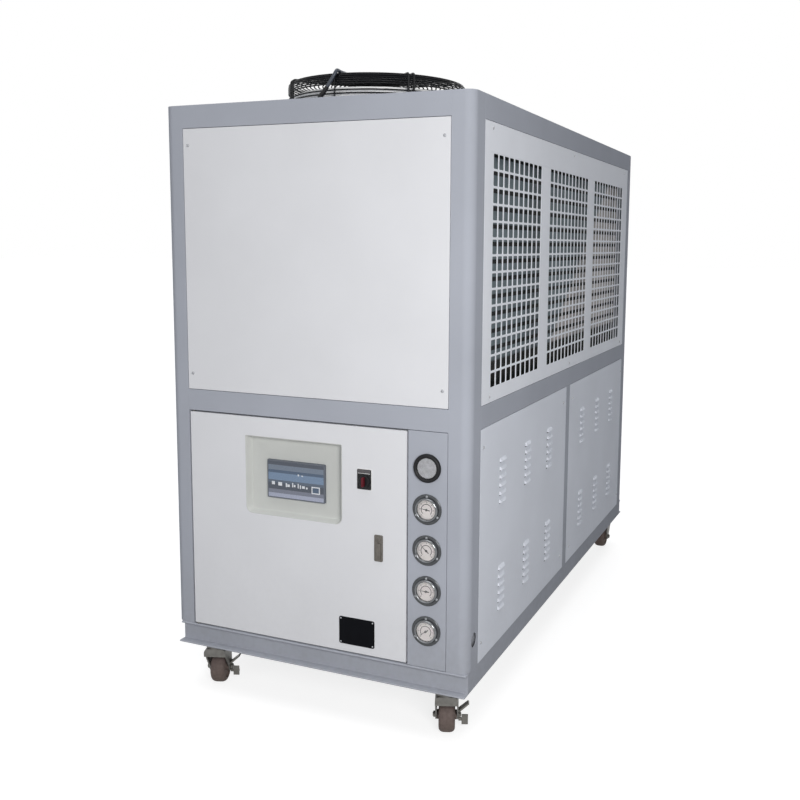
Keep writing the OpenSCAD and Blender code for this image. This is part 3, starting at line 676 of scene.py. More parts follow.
# Mid grey powder coat, with a soft orange peel and a little grime low down
FRAME_PAINT = Finish("grey powder coat", "frame_paint", "AEB2BC", roughness=0.72, mirror=0.02, blotch=0.035,
                     grain_mm=1.4, grain_depth_mm=0.035, dust_share=0.42, dust_top=0.5)
# Off-white powder coat, a touch glossier, so that edges catch the light
PANEL_PAINT = Finish("white powder coat", "panel_paint", "E3E4E8", roughness=0.72, mirror=0.1, blotch=0.02,
                     grain_mm=1.2, dust_share=0.12, dust_top=0.6)
# The same white on the sides, painted cooler to stand in for the bluer light on them, and duller
SIDE_PAINT = replace(PANEL_PAINT, name="white powder coat on the sides", slot="side_paint", colour="E3E7F0",
                     mirror=0.06, blotch=0.025, dust_share=0.14)
# The side white on the grilles, painted lighter to stand in for more light on them, and without dust
GRILLE_PAINT = replace(SIDE_PAINT, name="white powder coat on the grilles", colour="EFF2F9", dust_share=0.0)
# Paler satin paint of the fan rings
RING_PAINT = Finish("satin ring paint", "ring_paint", "EAEBEC", roughness=0.38)
# Dull zinc plate with a cloudy spangle
ZINC = Finish("zinc plate", "zinc", "6A6966", metallic=0.6, roughness=0.45, swing=0.1, blotch_mm=14.0,
              blotch=0.16, grain_mm=0.9, grain_depth_mm=0.01, dust_share=0.35, dust_top=0.2)
# Worn latch steel with a brown cast
LATCH_STEEL = Finish("worn latch steel", "zinc", "625E59", metallic=0.5, swing=0.1, blotch_mm=8.0,
                     blotch=0.18, grain_mm=1.2, grain_depth_mm=0.02, stretch=(1.0, 1.0, 0.2))
# Brighter galvanised sheet with larger spangle
GALVANISED = Finish("galvanised sheet", "galvanised", "A6A9AA", metallic=0.9, roughness=0.4, swing=0.08,
                    blotch_mm=22.0, blotch=0.12, grain_mm=2.0, grain_depth_mm=0.01)
# Dark polished steel of the gauge flanges
GAUGE_STEEL = Finish("polished gauge steel", "gauge_metal", "4C4E50", metallic=1.0, roughness=0.26,
                     blotch_mm=9.0, blotch=0.08, grain_mm=0.7, grain_depth_mm=0.004)
# Bright chrome of the rolled collars
CHROME = Finish("collar chrome", "gauge_metal", "727476", metallic=1.0, roughness=0.16, swing=0.04,
                blotch_mm=9.0, blotch=0.06, grain_mm=0.7, grain_depth_mm=0.003)
# Bright plated screws
SCREW_STEEL = Finish("plated screw steel", "zinc", "A2A4A8", metallic=0.6, roughness=0.42, swing=0.08,
                     blotch_mm=4.0, blotch=0.1, grain_mm=0.6, grain_depth_mm=0.005)
# Matt white enamel of the dials
DIAL_WHITE = Finish("dial enamel", "gauge_metal", "CEC8C7", roughness=0.6, blotch_mm=20.0, blotch=0.02,
                    grain_mm=0.5, grain_depth_mm=0.004)
# Printing ink of ticks and needles
INK = Finish("black ink", "black_plastic", "1B1B1D", roughness=0.6, blotch_mm=3.0, blotch=0.15, grain_mm=0.4,
             grain_depth_mm=0.004)
# Black moulded plastic with a fine spark texture
BLACK_PLASTIC = Finish("black moulded plastic", "black_plastic", "0D0D10", roughness=0.45, swing=0.08,
                       mirror=0.25, blotch_mm=12.0, blotch=0.12, grain_mm=0.8)
# Ivory moulding of the display pan, matt and even
IVORY = Finish("ivory moulded plastic", "ivory_plastic", "CBCDCA", roughness=0.6, mirror=0.15, blotch_mm=80.0,
               blotch=0.02, grain_mm=0.9, grain_depth_mm=0.02)
# Dark red moulded handle
RED_PLASTIC = Finish("red moulded plastic", "black_plastic", "560F1B", mirror=0.25, blotch_mm=10.0,
                     blotch=0.08, grain_mm=0.8, grain_depth_mm=0.015)
# White rim moulding
WHITE_PLASTIC = Finish("white moulded plastic", "ivory_plastic", "DADADA", roughness=0.45, blotch_mm=10.0,
                       grain_mm=0.8, grain_depth_mm=0.01)
# Grey strip of the switch
GREY_PLASTIC = Finish("grey moulded plastic", "black_plastic", "4A474A", blotch_mm=10.0, blotch=0.05,
                      grain_mm=0.8, grain_depth_mm=0.01)
# Pale grey dish behind the sight glass
DISH_ENAMEL = Finish("grey dish enamel", "black_plastic", "98999E", blotch_mm=10.0, blotch=0.2, grain_mm=0.8,
                     grain_depth_mm=0.02)
# Black lacquered plate
BLACK_PLATE = Finish("black lacquered plate", "black_plate", "090A0E", roughness=0.6, swing=0.08, mirror=0.05,
                     blotch_mm=30.0, blotch=0.15, grain_mm=1.5, grain_depth_mm=0.008)
# Semi-gloss black dip paint of the guard wires
BLACK_WIRE = Finish("black wire paint", "black_wire", "0C0D11", roughness=0.4, mirror=0.2, blotch_mm=30.0,
                    blotch=0.2, grain_mm=1.0, grain_depth_mm=0.02)
# Cast motor body
MOTOR_BLACK = Finish("black cast motor paint", "black_wire", "1E2023", blotch_mm=20.0, blotch=0.15,
                     grain_mm=1.8, grain_depth_mm=0.06)
# Painted fan blades with cloudy dulling
BLADE_PAINT = Finish("black blade paint", "blade", "26282B", roughness=0.42, blotch_mm=60.0, blotch=0.2,
                     grain_mm=1.5, grain_depth_mm=0.02)
# Grey-teal aluminium fins with painted shade lines at the tube rows, a pale patch of painted light and a foot
# in painted shade
FINS = FinStock("aluminium fin stock", "fin", "7E8B91", roughness=0.6, mirror=0.1, blotch_mm=120.0,
                blotch=0.1)
# Matt rubber of the leads
CABLE_RUBBER = Finish("slate cable rubber", "cable", "2C333E", roughness=0.45, blotch_mm=12.0, blotch=0.15,
                      grain_mm=0.9, grain_depth_mm=0.02)
# Brown-grey tread with scuffs and floor dust
TREAD = Finish("brown wheel rubber", "wheel_rubber", "655856", roughness=0.66, mirror=0.2, swing=0.1,
               blotch_mm=9.0, blotch=0.16, grain_depth_mm=0.08, dust="857A6C", dust_share=0.6, dust_top=0.12)
# Painted shade: dark patches under the hoods, where the slits lie in shade
SLIT_SHADE = Finish("painted slit shade", "black_plastic", "2A2D31", roughness=0.8, blotch_mm=20.0, blotch=0.2)
# Clear lens of gauges
LENS = Glazing("lens glass", "screen", "FFFFFF", roughness=0.03, swing=0.01, blotch=0.0,
               grain_depth_mm=0.0005)
# Grey moulding round the display
SCREEN_BEZEL = Finish("screen bezel", "screen", "5C626C", roughness=0.35, blotch_mm=30.0, blotch=0.06,
                      grain_mm=0.9, grain_depth_mm=0.01)
# Lit parts of the display, with a mottle that stands for its dots, drawn coarser so that it shows
SCREEN_LILAC = lit("lilac", "9EA3B5")
SCREEN_MAUVE = lit("mauve", "767A87")
SCREEN_DARK = lit("dark", "50555F")
SCREEN_STEEL = lit("steel", "5B6573")
SCREEN_BLUE = lit("blue", "73869E")
SCREEN_SLATE = lit("slate", "526073")
SCREEN_PALE = lit("pale", "717B89")
SCREEN_WHITE = lit("white", "D2D5DA")


@lru_cache(maxsize=None)
def material_of(finish: Finish) -> bpy.types.Material:
    """Gives the one material of a finish, built on first use."""
    return finish.material()


def add_piece(name: str, skins: list[Skin], finish: Finish, body: str = "cabinet",
              stands_for: tuple[str, ...] = (), sharp_deg: float = 38.0) -> bpy.types.Object:
    """Makes an object of surfaces and ties it to a body.

    Args:
        name: object name.
        skins: its surfaces.
        finish: its finish.
        body: the body that it moves with.
        stands_for: nodes that it is shown in place of.
        sharp_deg: edges that turn by more than this stay sharp.

    Returns:
        The object.
    """
    skin = join(skins)
    counts = np.concatenate([np.full(len(group), group.shape[1]) for group in skin.faces])
    starts = np.concatenate([[0], np.cumsum(counts)[:-1]]).astype(np.int32)
    corners = np.concatenate([group.ravel() for group in skin.faces]).astype(np.int32)
    mesh = bpy.data.meshes.new(name)
    mesh.vertices.add(len(skin.points))
    mesh.vertices.foreach_set("co", skin.points.astype(np.float32).ravel())
    mesh.loops.add(len(corners))
    mesh.loops.foreach_set("vertex_index", corners)
    mesh.polygons.add(len(counts))
    mesh.polygons.foreach_set("loop_start", starts)
    mesh.update(calc_edges=True)
    mesh.validate()
    edit = bmesh.new()
    edit.from_mesh(mesh)
    bmesh.ops.remove_doubles(edit, verts=edit.verts, dist=SAME_POINT)
    bmesh.ops.recalc_face_normals(edit, faces=edit.faces)
    edit.to_mesh(mesh)
    edit.free()
    mesh.polygons.foreach_set("use_smooth", np.ones(len(mesh.polygons), dtype=bool))
    mesh.set_sharp_from_angle(angle=math.radians(sharp_deg))
    mesh.materials.append(material_of(finish))
    piece = bpy.data.objects.new(name, mesh)
    bpy.context.scene.collection.objects.link(piece)
    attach(piece, body)
    if stands_for:
        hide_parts(*stands_for)
    return piece


def dress(node: str, finish: Finish, edge_mm: float = 0.0, smooth: bool = True) -> None:
    """Gives a solid its finish and, if asked, softly broken edges.

    Args:
        node: the solid.
        finish: its finish.
        edge_mm: width of the broken edge.
        smooth: shades across the edges, which flat folded rails do without.
    """
    piece = frame["nodes"][node]
    mesh = piece.data
    mesh.materials.clear()
    mesh.materials.append(material_of(finish))
    if edge_mm:
        if "custom_normal" in mesh.attributes:
            mesh.attributes.remove(mesh.attributes["custom_normal"])
        mesh.polygons.foreach_set("use_smooth", np.full(len(mesh.polygons), smooth))
        weld = piece.modifiers.new("weld", "WELD")
        weld.merge_threshold = WELD
        bevel = piece.modifiers.new("edge", "BEVEL")
        bevel.width = edge_mm * MM
        bevel.segments = 2
        bevel.limit_method = "ANGLE"
        bevel.angle_limit = math.radians(EDGE_DEG)
        normals = piece.modifiers.new("normals", "WEIGHTED_NORMAL")
        normals.keep_sharp = True


@dataclass(frozen=True)
class Studio:
    """Camera, light and floor.

    Attributes:
        eye: place of the camera.
        yaw_deg: turn of the view to the left of straight ahead.
        pitch_deg: tilt of the view below level.
        roll_deg: turn of the picture.
        sensor_mm: width of the sensor.
        lens_mm: focal length.
        shift: shift of the picture's middle, as shares of its width.
        sky: strength of the even light.
        sky_tint: its colour.
        key_at: place of the soft box beside the camera.
        key_aim: the point that it is turned to.
        key_size: width of the soft box.
        key_watts: power of the soft box.
        key_tint: its colour.
        fill: strength of the even light on the front.
        fill_deg: turn of that light from straight down.
        back: strength of the even light on the rear.
        back_deg: turn of that light from straight down.
        top: strength of the light from above.
        spread_deg: how wide the source of each even light looks.
        floor_half: half the width of the floor.
        floor_colour: share of light that the floor throws back.
        floor_white: strength that the floor shows to the camera on top of that.
    """

    eye: Triple = (1.3995, -3.4102, 1.4219)
    yaw_deg: float = 22.97
    pitch_deg: float = -7.24
    roll_deg: float = 0.47
    sensor_mm: float = 36.0
    lens_mm: float = 42.73
    shift: Pair = (-0.0416, -0.0439)
    sky: float = 0.14
    sky_tint: Triple = (0.88, 0.95, 1.06)
    key_at: Triple = (2.2, -3.5, 1.75)
    key_aim: Triple = (0.1, -0.9, 0.9)
    key_size: float = 1.3
    key_watts: float = 70.0
    key_tint: Triple = (1.0, 0.985, 0.965)
    fill: float = 0.58
    fill_deg: Triple = (78.0, 0.0, -15.0)
    back: float = 1.2
    back_deg: Triple = (78.0, 0.0, -165.0)
    top: float = 1.5
    spread_deg: float = 50.0
    floor_half: float = 60.0
    floor_colour: float = 0.35
    floor_white: float = 0.8

    def build(self) -> None:
        """Sets up camera, world, lights and floor."""
        scene = bpy.context.scene
        scene.view_settings.view_transform = "Standard"
        lens = bpy.data.cameras.new("camera")
        lens.sensor_width = self.sensor_mm
        lens.lens = self.lens_mm
        lens.shift_x, lens.shift_y = self.shift
        camera = bpy.data.objects.new("camera", lens)
        turn = Euler((math.radians(90 + self.pitch_deg), 0.0, math.radians(self.yaw_deg)), "XYZ").to_matrix()
        roll = Matrix.Rotation(math.radians(self.roll_deg), 3, "Z")
        camera.matrix_world = Matrix.Translation(self.eye) @ (turn @ roll).to_4x4()
        scene.collection.objects.link(camera)
        scene.camera = camera
        self.light_world(scene)
        self.soft_box(scene)
        self.far_light(scene, "fill", self.fill, self.fill_deg)
        self.far_light(scene, "back", self.back, self.back_deg)
        self.far_light(scene, "top", self.top, (0.0, 0.0, 0.0))
        self.lay_floor(scene)

    def light_world(self, scene: bpy.types.Scene) -> None:
        """Lights the scene evenly and shows plain white behind it.

        Args:
            scene: the scene.
        """
        world = bpy.data.worlds.new("studio")
        scene.world = world
        world.use_nodes = True
        tree = world.node_tree
        tree.nodes.clear()
        even = add(tree, "ShaderNodeBackground", {"Color": (*self.sky_tint, 1.0), "Strength": self.sky})
        white = add(tree, "ShaderNodeBackground", {"Color": (1.0, 1.0, 1.0, 1.0), "Strength": 1.0})
        mixed = add(tree, "ShaderNodeMixShader", {0: self.seen(tree), 1: even.outputs["Background"],
                                                  2: white.outputs["Background"]})
        add(tree, "ShaderNodeOutputWorld", {"Surface": mixed.outputs["Shader"]})

    def seen(self, tree: Tree) -> Socket:
        """Tells whether a ray shows the background to the camera, straight or by way of metal or glass.

        Args:
            tree: the node tree.

        Returns:
            A socket that is one for such rays.
        """
        path = add(tree, "ShaderNodeLightPath").outputs
        pair = add(tree, "ShaderNodeMath", {0: path["Is Camera Ray"], 1: path["Is Glossy Ray"]},
                   operation="ADD")
        every = add(tree, "ShaderNodeMath", {0: pair.outputs["Value"], 1: path["Is Transmission Ray"]},
                    operation="ADD", use_clamp=True)
        return every.outputs["Value"]

    def soft_box(self, scene: bpy.types.Scene) -> None:
        """Hangs the soft box, turned to the cabinet.

        Args:
            scene: the scene.
        """
        lamp = bpy.data.lights.new("soft_box", "AREA")
        lamp.shape = "DISK"
        lamp.size = self.key_size
        lamp.energy = self.key_watts
        lamp.color = self.key_tint
        light = bpy.data.objects.new("soft_box", lamp)
        light.location = self.key_at
        aim = Vector(self.key_aim) - Vector(self.key_at)
        light.rotation_euler = aim.to_track_quat("-Z", "Y").to_euler()
        scene.collection.objects.link(light)

    def far_light(self, scene: bpy.types.Scene, name: str, strength: float, turn_deg: Triple) -> None:
        """Adds a wide distant light.

        Args:
            scene: the scene.
            name: object name.
            strength: its strength.
            turn_deg: rotation from straight down.
        """
        lamp = bpy.data.lights.new(name, "SUN")
        lamp.energy = strength
        lamp.angle = math.radians(self.spread_deg)
        light = bpy.data.objects.new(name, lamp)
        light.rotation_euler = [math.radians(part) for part in turn_deg]
        scene.collection.objects.link(light)

    def lay_floor(self, scene: bpy.types.Scene) -> None:
        """Lays the pale floor, which keeps the shadow.

        Args:
            scene: the scene.
        """
        half = self.floor_half
        mesh = bpy.data.meshes.new("floor")
        corners = [(-half, -half, 0), (half, -half, 0), (half, half, 0), (-half, half, 0)]
        mesh.from_pydata(corners, [], [(0, 1, 2, 3)])
        floor = bpy.data.objects.new("floor", mesh)
        made = bpy.data.materials.new("pale floor")
        made.use_nodes = True
        tree = made.node_tree
        shader = tree.nodes["Principled BSDF"]
        shader.inputs["Base Color"].default_value = (self.floor_colour,) * 3 + (1.0,)
        shader.inputs["Roughness"].default_value = 0.9
        shader.inputs["Specular IOR Level"].default_value = 0.0
        shader.inputs["Emission Color"].default_value = (1.0, 1.0, 1.0, 1.0)
        shown = add(tree, "ShaderNodeMath", {0: self.seen(tree), 1: self.floor_white}, operation="MULTIPLY")
        tree.links.new(shown.outputs["Value"], shader.inputs["Emission Strength"])
        mesh.materials.append(made)
        scene.collection.objects.link(floor)


@dataclass(frozen=True)
class Screws:
    """Button head screws with a round socket.

    Attributes:
        head_mm: radius of the head.
        rise_mm: height of the head.
        socket_mm: radius of the socket.
    """

    head_mm: float = 4.6
    rise_mm: float = 2.4
    socket_mm: float = 2.1

    def one(self, place: Place) -> Skin:
        """Turns one head: a flat dome that falls into a socket.

        Args:
            place: seat of the head.

        Returns:
            The surface.
        """
        r, h, s = self.head_mm, self.rise_mm, self.socket_mm
        dome = [(0, -0.3), (r, -0.3), (r, 0.3 * h), (0.92 * r, 0.66 * h), (0.72 * r, 0.92 * h), (1.2 * s, h)]
        well = [(1.2 * s, h), (s, h - 0.1), (s, 0.35 * h), (0, 0.35 * h)]
        return join([turned(place, from_mm(profile), 18) for profile in (dome, well)])

    def build(self, name: str, wall: Wall, spots: list[Triple], body: str = "cabinet") -> None:
        """Adds screws to a wall at their seats."""
        head = self.one(wall.at(0.0, 0.0, 0.0))
        add_piece(name, [repeated(head, np.array(spots))], SCREW_STEEL, body)


@dataclass(frozen=True)
class Cabinet:
    """Frame, plain panels and their screws.

    Attributes:
        front_inset: distance of a front panel's screws from its sides and from its top and foot.
        grille_inset: the same for a grille.
        lower_inset: the same for a lower side panel.
        roof_inset: distance of the roof's screws from its edges.
        roof_screws: screws along each long edge of the roof.
        edge_mm: width of the broken edges.
        base_edge_mm: the same for the rolled base channels.
        inner_edge_mm: the same for the sheets inside.
        bead_r: radius of the bead along the base's upper edge.
    """

    front_inset: Pair = (17.0 * MM, 49.0 * MM)
    grille_inset: Pair = (62.0 * MM, 17.0 * MM)
    lower_inset: Pair = (22.0 * MM, 55.0 * MM)
    roof_inset: float = 20.0 * MM
    roof_screws: int = 7
    edge_mm: float = 0.9
    base_edge_mm: float = 2.2
    inner_edge_mm: float = 0.5
    bead_r: float = 3.2 * MM

    def dress(self) -> None:
        """Gives the frame, the plain panels and the coils their finishes."""
        dress("base_cross_channels", FRAME_PAINT, self.base_edge_mm)
        for node in ("base_side_channels", "corner_gussets", "floor_pan", "corner_posts", "gauge_panel",
                     "roof_panel"):
            dress(node, FRAME_PAINT, self.edge_mm)
        for node in ("top_rails", "mid_rails", "side_mullions"):
            dress(node, FRAME_PAINT, self.edge_mm, smooth=False)
        for node in ("front_upper_panel", "rear_upper_panel", "rear_lower_panel"):
            dress(node, PANEL_PAINT, self.edge_mm)
        for node in ("control_box", "deck"):
            dress(node, GALVANISED, self.inner_edge_mm)
        dress("condenser_coils", FINS)

    def rim(self, node: str, wall: Wall, columns: int, inset: Pair, span: Pair | None = None) -> list[Triple]:
        """Spaces screws along the top and the foot of a panel.

        Args:
            node: the panel.
            wall: its wall.
            columns: screws along each of the two edges.
            inset: distance of the screws from the sides and from the top and foot.
            span: ends of the panel along Y, if the node holds more than one panel.

        Returns:
            Seats of the screws.
        """
        low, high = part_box(node)
        side = wall in SIDES
        start, stop = span or ((low.y, high.y) if side else (low.x, high.x))
        along = np.linspace(start + inset[0], stop - inset[0], columns)
        faces = {Wall.FRONT: low.y, Wall.REAR: high.y, Wall.RIGHT: SIDE_FACE, Wall.LEFT: -SIDE_FACE}
        face = faces[wall]
        flat = [(float(a), z) for a in along for z in (low.z + inset[1], high.z - inset[1])]
        return [(face, a, z) if side else (a, face, z) for a, z in flat]

    def build(self) -> None:
        """Adds the screws of the panels and the roof, and the beads."""
        self.dress()
        screws = Screws()
        front = self.rim("front_upper_panel", Wall.FRONT, 2, self.front_inset)
        screws.build("front_panel_screws", Wall.FRONT, front)
        rear = self.rim("rear_upper_panel", Wall.REAR, 2, self.front_inset)
        rear += self.rim("rear_lower_panel", Wall.REAR, 2, self.front_inset)
        screws.build("rear_panel_screws", Wall.REAR, rear)
        for wall in SIDES:
            spots = self.rim(wall.named("grille"), wall, 3, self.grille_inset)
            node = wall.named("louvre_panels")
            for span in lower_spans(node):
                spots += self.rim(node, wall, 2, self.lower_inset, span)
            screws.build(wall.named("side_screws"), wall, spots)
        low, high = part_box("roof_panel")
        inset = self.roof_inset
        along = np.linspace(low.y + inset, high.y - inset, self.roof_screws)
        roof = [(x, float(y), high.z) for x in (low.x + inset, high.x - inset) for y in along]
        screws.build("roof_screws", Wall.ROOF, roof)
        self.beads()

    def beads(self) -> None:
        """Adds the rounded bead along the upper edge of the base, front and rear."""
        low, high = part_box("base_cross_channels")
        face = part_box("corner_posts")[0].y
        z = high.z - self.bead_r
        skins = []
        for y in (face, -face):
            path = np.array([[x, y, z] for x in np.linspace(low.x, high.x, 3)])
            skins.append(swept(path, np.array([0.0, 0.0, 1.0]), self.bead_r, 16))
        add_piece("base_beads", skins, FRAME_PAINT)


@dataclass(frozen=True)
class Grille:
    """Side panel punched with bays of square holes that have round corners.

    Attributes:
        wall: its side of the cabinet.
        pitch: spacing of the holes.
        hole: width of a hole.
        corner: radius of a hole's corners.
        columns: holes along each bay, from front to rear.
        rows: holes up each bay.
        drop: how far the rows sit below the panel's middle.
        start: distance of the first hole from the panel's front edge.
        bay_gap: plain strip between two bays.
        sheet: thickness of the sheet.
        lip: chamfer round a hole.
        fold_r: radius of the folded panel's corners.
    """

    wall: Wall
    pitch: float = 47.5 * MM
    hole: float = 41.0 * MM
    corner: float = 4.5 * MM
    columns: tuple[int, ...] = (10, 11, 11)
    rows: int = 14
    drop: float = 21.0 * MM
    start: float = 71.0 * MM
    bay_gap: float = 103.0 * MM
    sheet: float = 2.0 * MM
    lip: float = 0.5 * MM
    fold_r: float = 0.3 * MM

    def cell(self, place: Place) -> Skin:
        """Draws the sheet round one hole.

        Rings of points run from the square cell edge over the chamfer, through the hole and back behind it.

        Args:
            place: middle of the hole on the outer face.

        Returns:
            The surface of one cell.
        """
        wide, wide_r = self.hole + 2 * self.lip, self.corner + self.lip
        hole = rounded(self.hole, self.hole, self.corner, self.corner, 5)
        lip = rounded(wide, wide, wide_r, wide_r, 5)
        edge = hole * (self.pitch / 2 / np.abs(hole).max(axis=1, keepdims=True))
        steps = ((edge, 0.0), (lip, 0.0), (hole, -self.lip), (hole, -self.sheet), (edge, -self.sheet))
        rings = [raised(outline, rise) for outline, rise in steps]
        return woven(place.put(np.stack(rings)), close_columns=True)

    def build(self) -> None:
        """Adds the punched panel: cells in bays, plain strips round them and the folded edge."""
        node = self.wall.named("grille")
        low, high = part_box(node)
        face = high.x if self.wall is Wall.RIGHT else low.x
        half = self.pitch / 2
        margin = ((high.z - low.z) - ((self.rows - 1) * self.pitch + self.hole)) / 2 - self.drop
        up = low.z + margin + self.hole / 2 + np.arange(self.rows) * self.pitch
        widths = np.array([(count - 1) * self.pitch + self.hole for count in self.columns])
        starts = low.y + self.start + np.concatenate([[0.0], np.cumsum(widths + self.bay_gap)[:-1]])
        along = np.concatenate([first + self.hole / 2 + np.arange(count) * self.pitch
                                for first, count in zip(starts, self.columns)])
        skins = [repeated(self.cell(self.wall.at(0.0, 0.0, 0.0)), crossings(face, along, up))]
        bottom, top = up[0] - half, up[-1] + half
        sides = np.concatenate([[first + self.hole / 2 - half, first + width - self.hole / 2 + half]
                                for first, width in zip(starts, widths)])
        stops = np.concatenate([[low.y], sides, [high.y]]).reshape(-1, 2)
        strips = [(low.y, high.y, low.z, bottom), (low.y, high.y, top, high.z)]
        strips += [(float(a), float(b), bottom, top) for a, b in stops]
        skins += [self.strip(face, *strip) for strip in strips]
        skins.append(self.fold(face, low, high))
        add_piece("punched_" + node, skins, GRILLE_PAINT, stands_for=(node,))

    def strip(self, face: float, near: float, far: float, bottom: float, top: float) -> Skin:
        """Draws a plain strip of the sheet, outer face and back, between two ends and two heights."""
        place = self.wall.at(face, (near + far) / 2, (bottom + top) / 2)
        return slab(place, far - near, top - bottom, (0.0, 0.0), [(0.0, -self.sheet), (0.0, 0.0)], 1)

    def fold(self, face: float, low: Vector, high: Vector) -> Skin:
        """Draws the folded edge round the panel.

        Args:
            face: place of the outer face along X.
            low: lowest corner of the panel.
            high: highest corner of the panel.

        Returns:
            The surface: a band that runs in from the face, round its end and back.
        """
        place = self.wall.at(face, (low.y + high.y) / 2, (low.z + high.z) / 2)
        size, deep, corner = high - low, high.x - low.x, self.fold_r
        lip, sheet = self.lip, self.sheet
        steps = ((0.0, -lip), (0.0, -deep), (sheet, -deep), (sheet, -sheet), (lip, 0.0))
        rings = [raised(rounded(size.y - 2 * inset, size.z - 2 * inset, corner, corner, 3), rise)
                 for inset, rise in steps]
        return woven(place.put(np.stack(rings)), close_rows=True, close_columns=True)


@dataclass(frozen=True)
class LouvrePanels:
    """Lower side panels: painted shade patches in the slits under the pressed hoods.

    Attributes:
        wall: their side of the cabinet.
        length: length of a slit.
        height: height of a slit.
        pitch: spacing of the slits in a stack.
        count: slits in a stack.
        stacks: stacks along a panel.
        low: height of the first slit over the panel's foot.
        rise: height of the upper stacks over the lower ones.
        first: place of the first stack, as a share of the panel's length.
        step: spacing of the stacks, as a share of the panel's length.
    """

    wall: Wall
    length: float = 44.0 * MM
    height: float = 3.0 * MM
    pitch: float = 25.2 * MM
    count: int = 6
    stacks: int = 3
    low: float = 101.5 * MM
    rise: float = 335.0 * MM
    first: float = 0.211
    step: float = 0.277

    def build(self) -> None:
        """Dresses the panels of one side and adds patches of painted shade in their slits."""
        node = self.wall.named("louvre_panels")
        dress(node, SIDE_PAINT, 0.6)
        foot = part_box(node)[0].z + self.low
        shares = self.first + self.step * np.arange(self.stacks)
        along = np.concatenate([start + (stop - start) * shares for start, stop in lower_spans(node)])
        stack = np.arange(self.count) * self.pitch
        up = np.concatenate([foot + shift + stack for shift in (0.0, self.rise)])
        across, _, out = self.wall.value
        spots = crossings(SIDE_FACE * out[0], along * across[1], up)
        # Painted shade: a thin dark patch in each slit under a hood
        slit = slab(self.wall.at(0.0, 0.0, -self.height / 2), self.length, self.height, (1.2 * MM, 0.2 * MM),
                    from_mm([(0, -1), (0, 0.15)]), 4)
        add_piece(self.wall.named("louvre_slit_shade"), [repeated(slit, spots)], SLIT_SHADE)


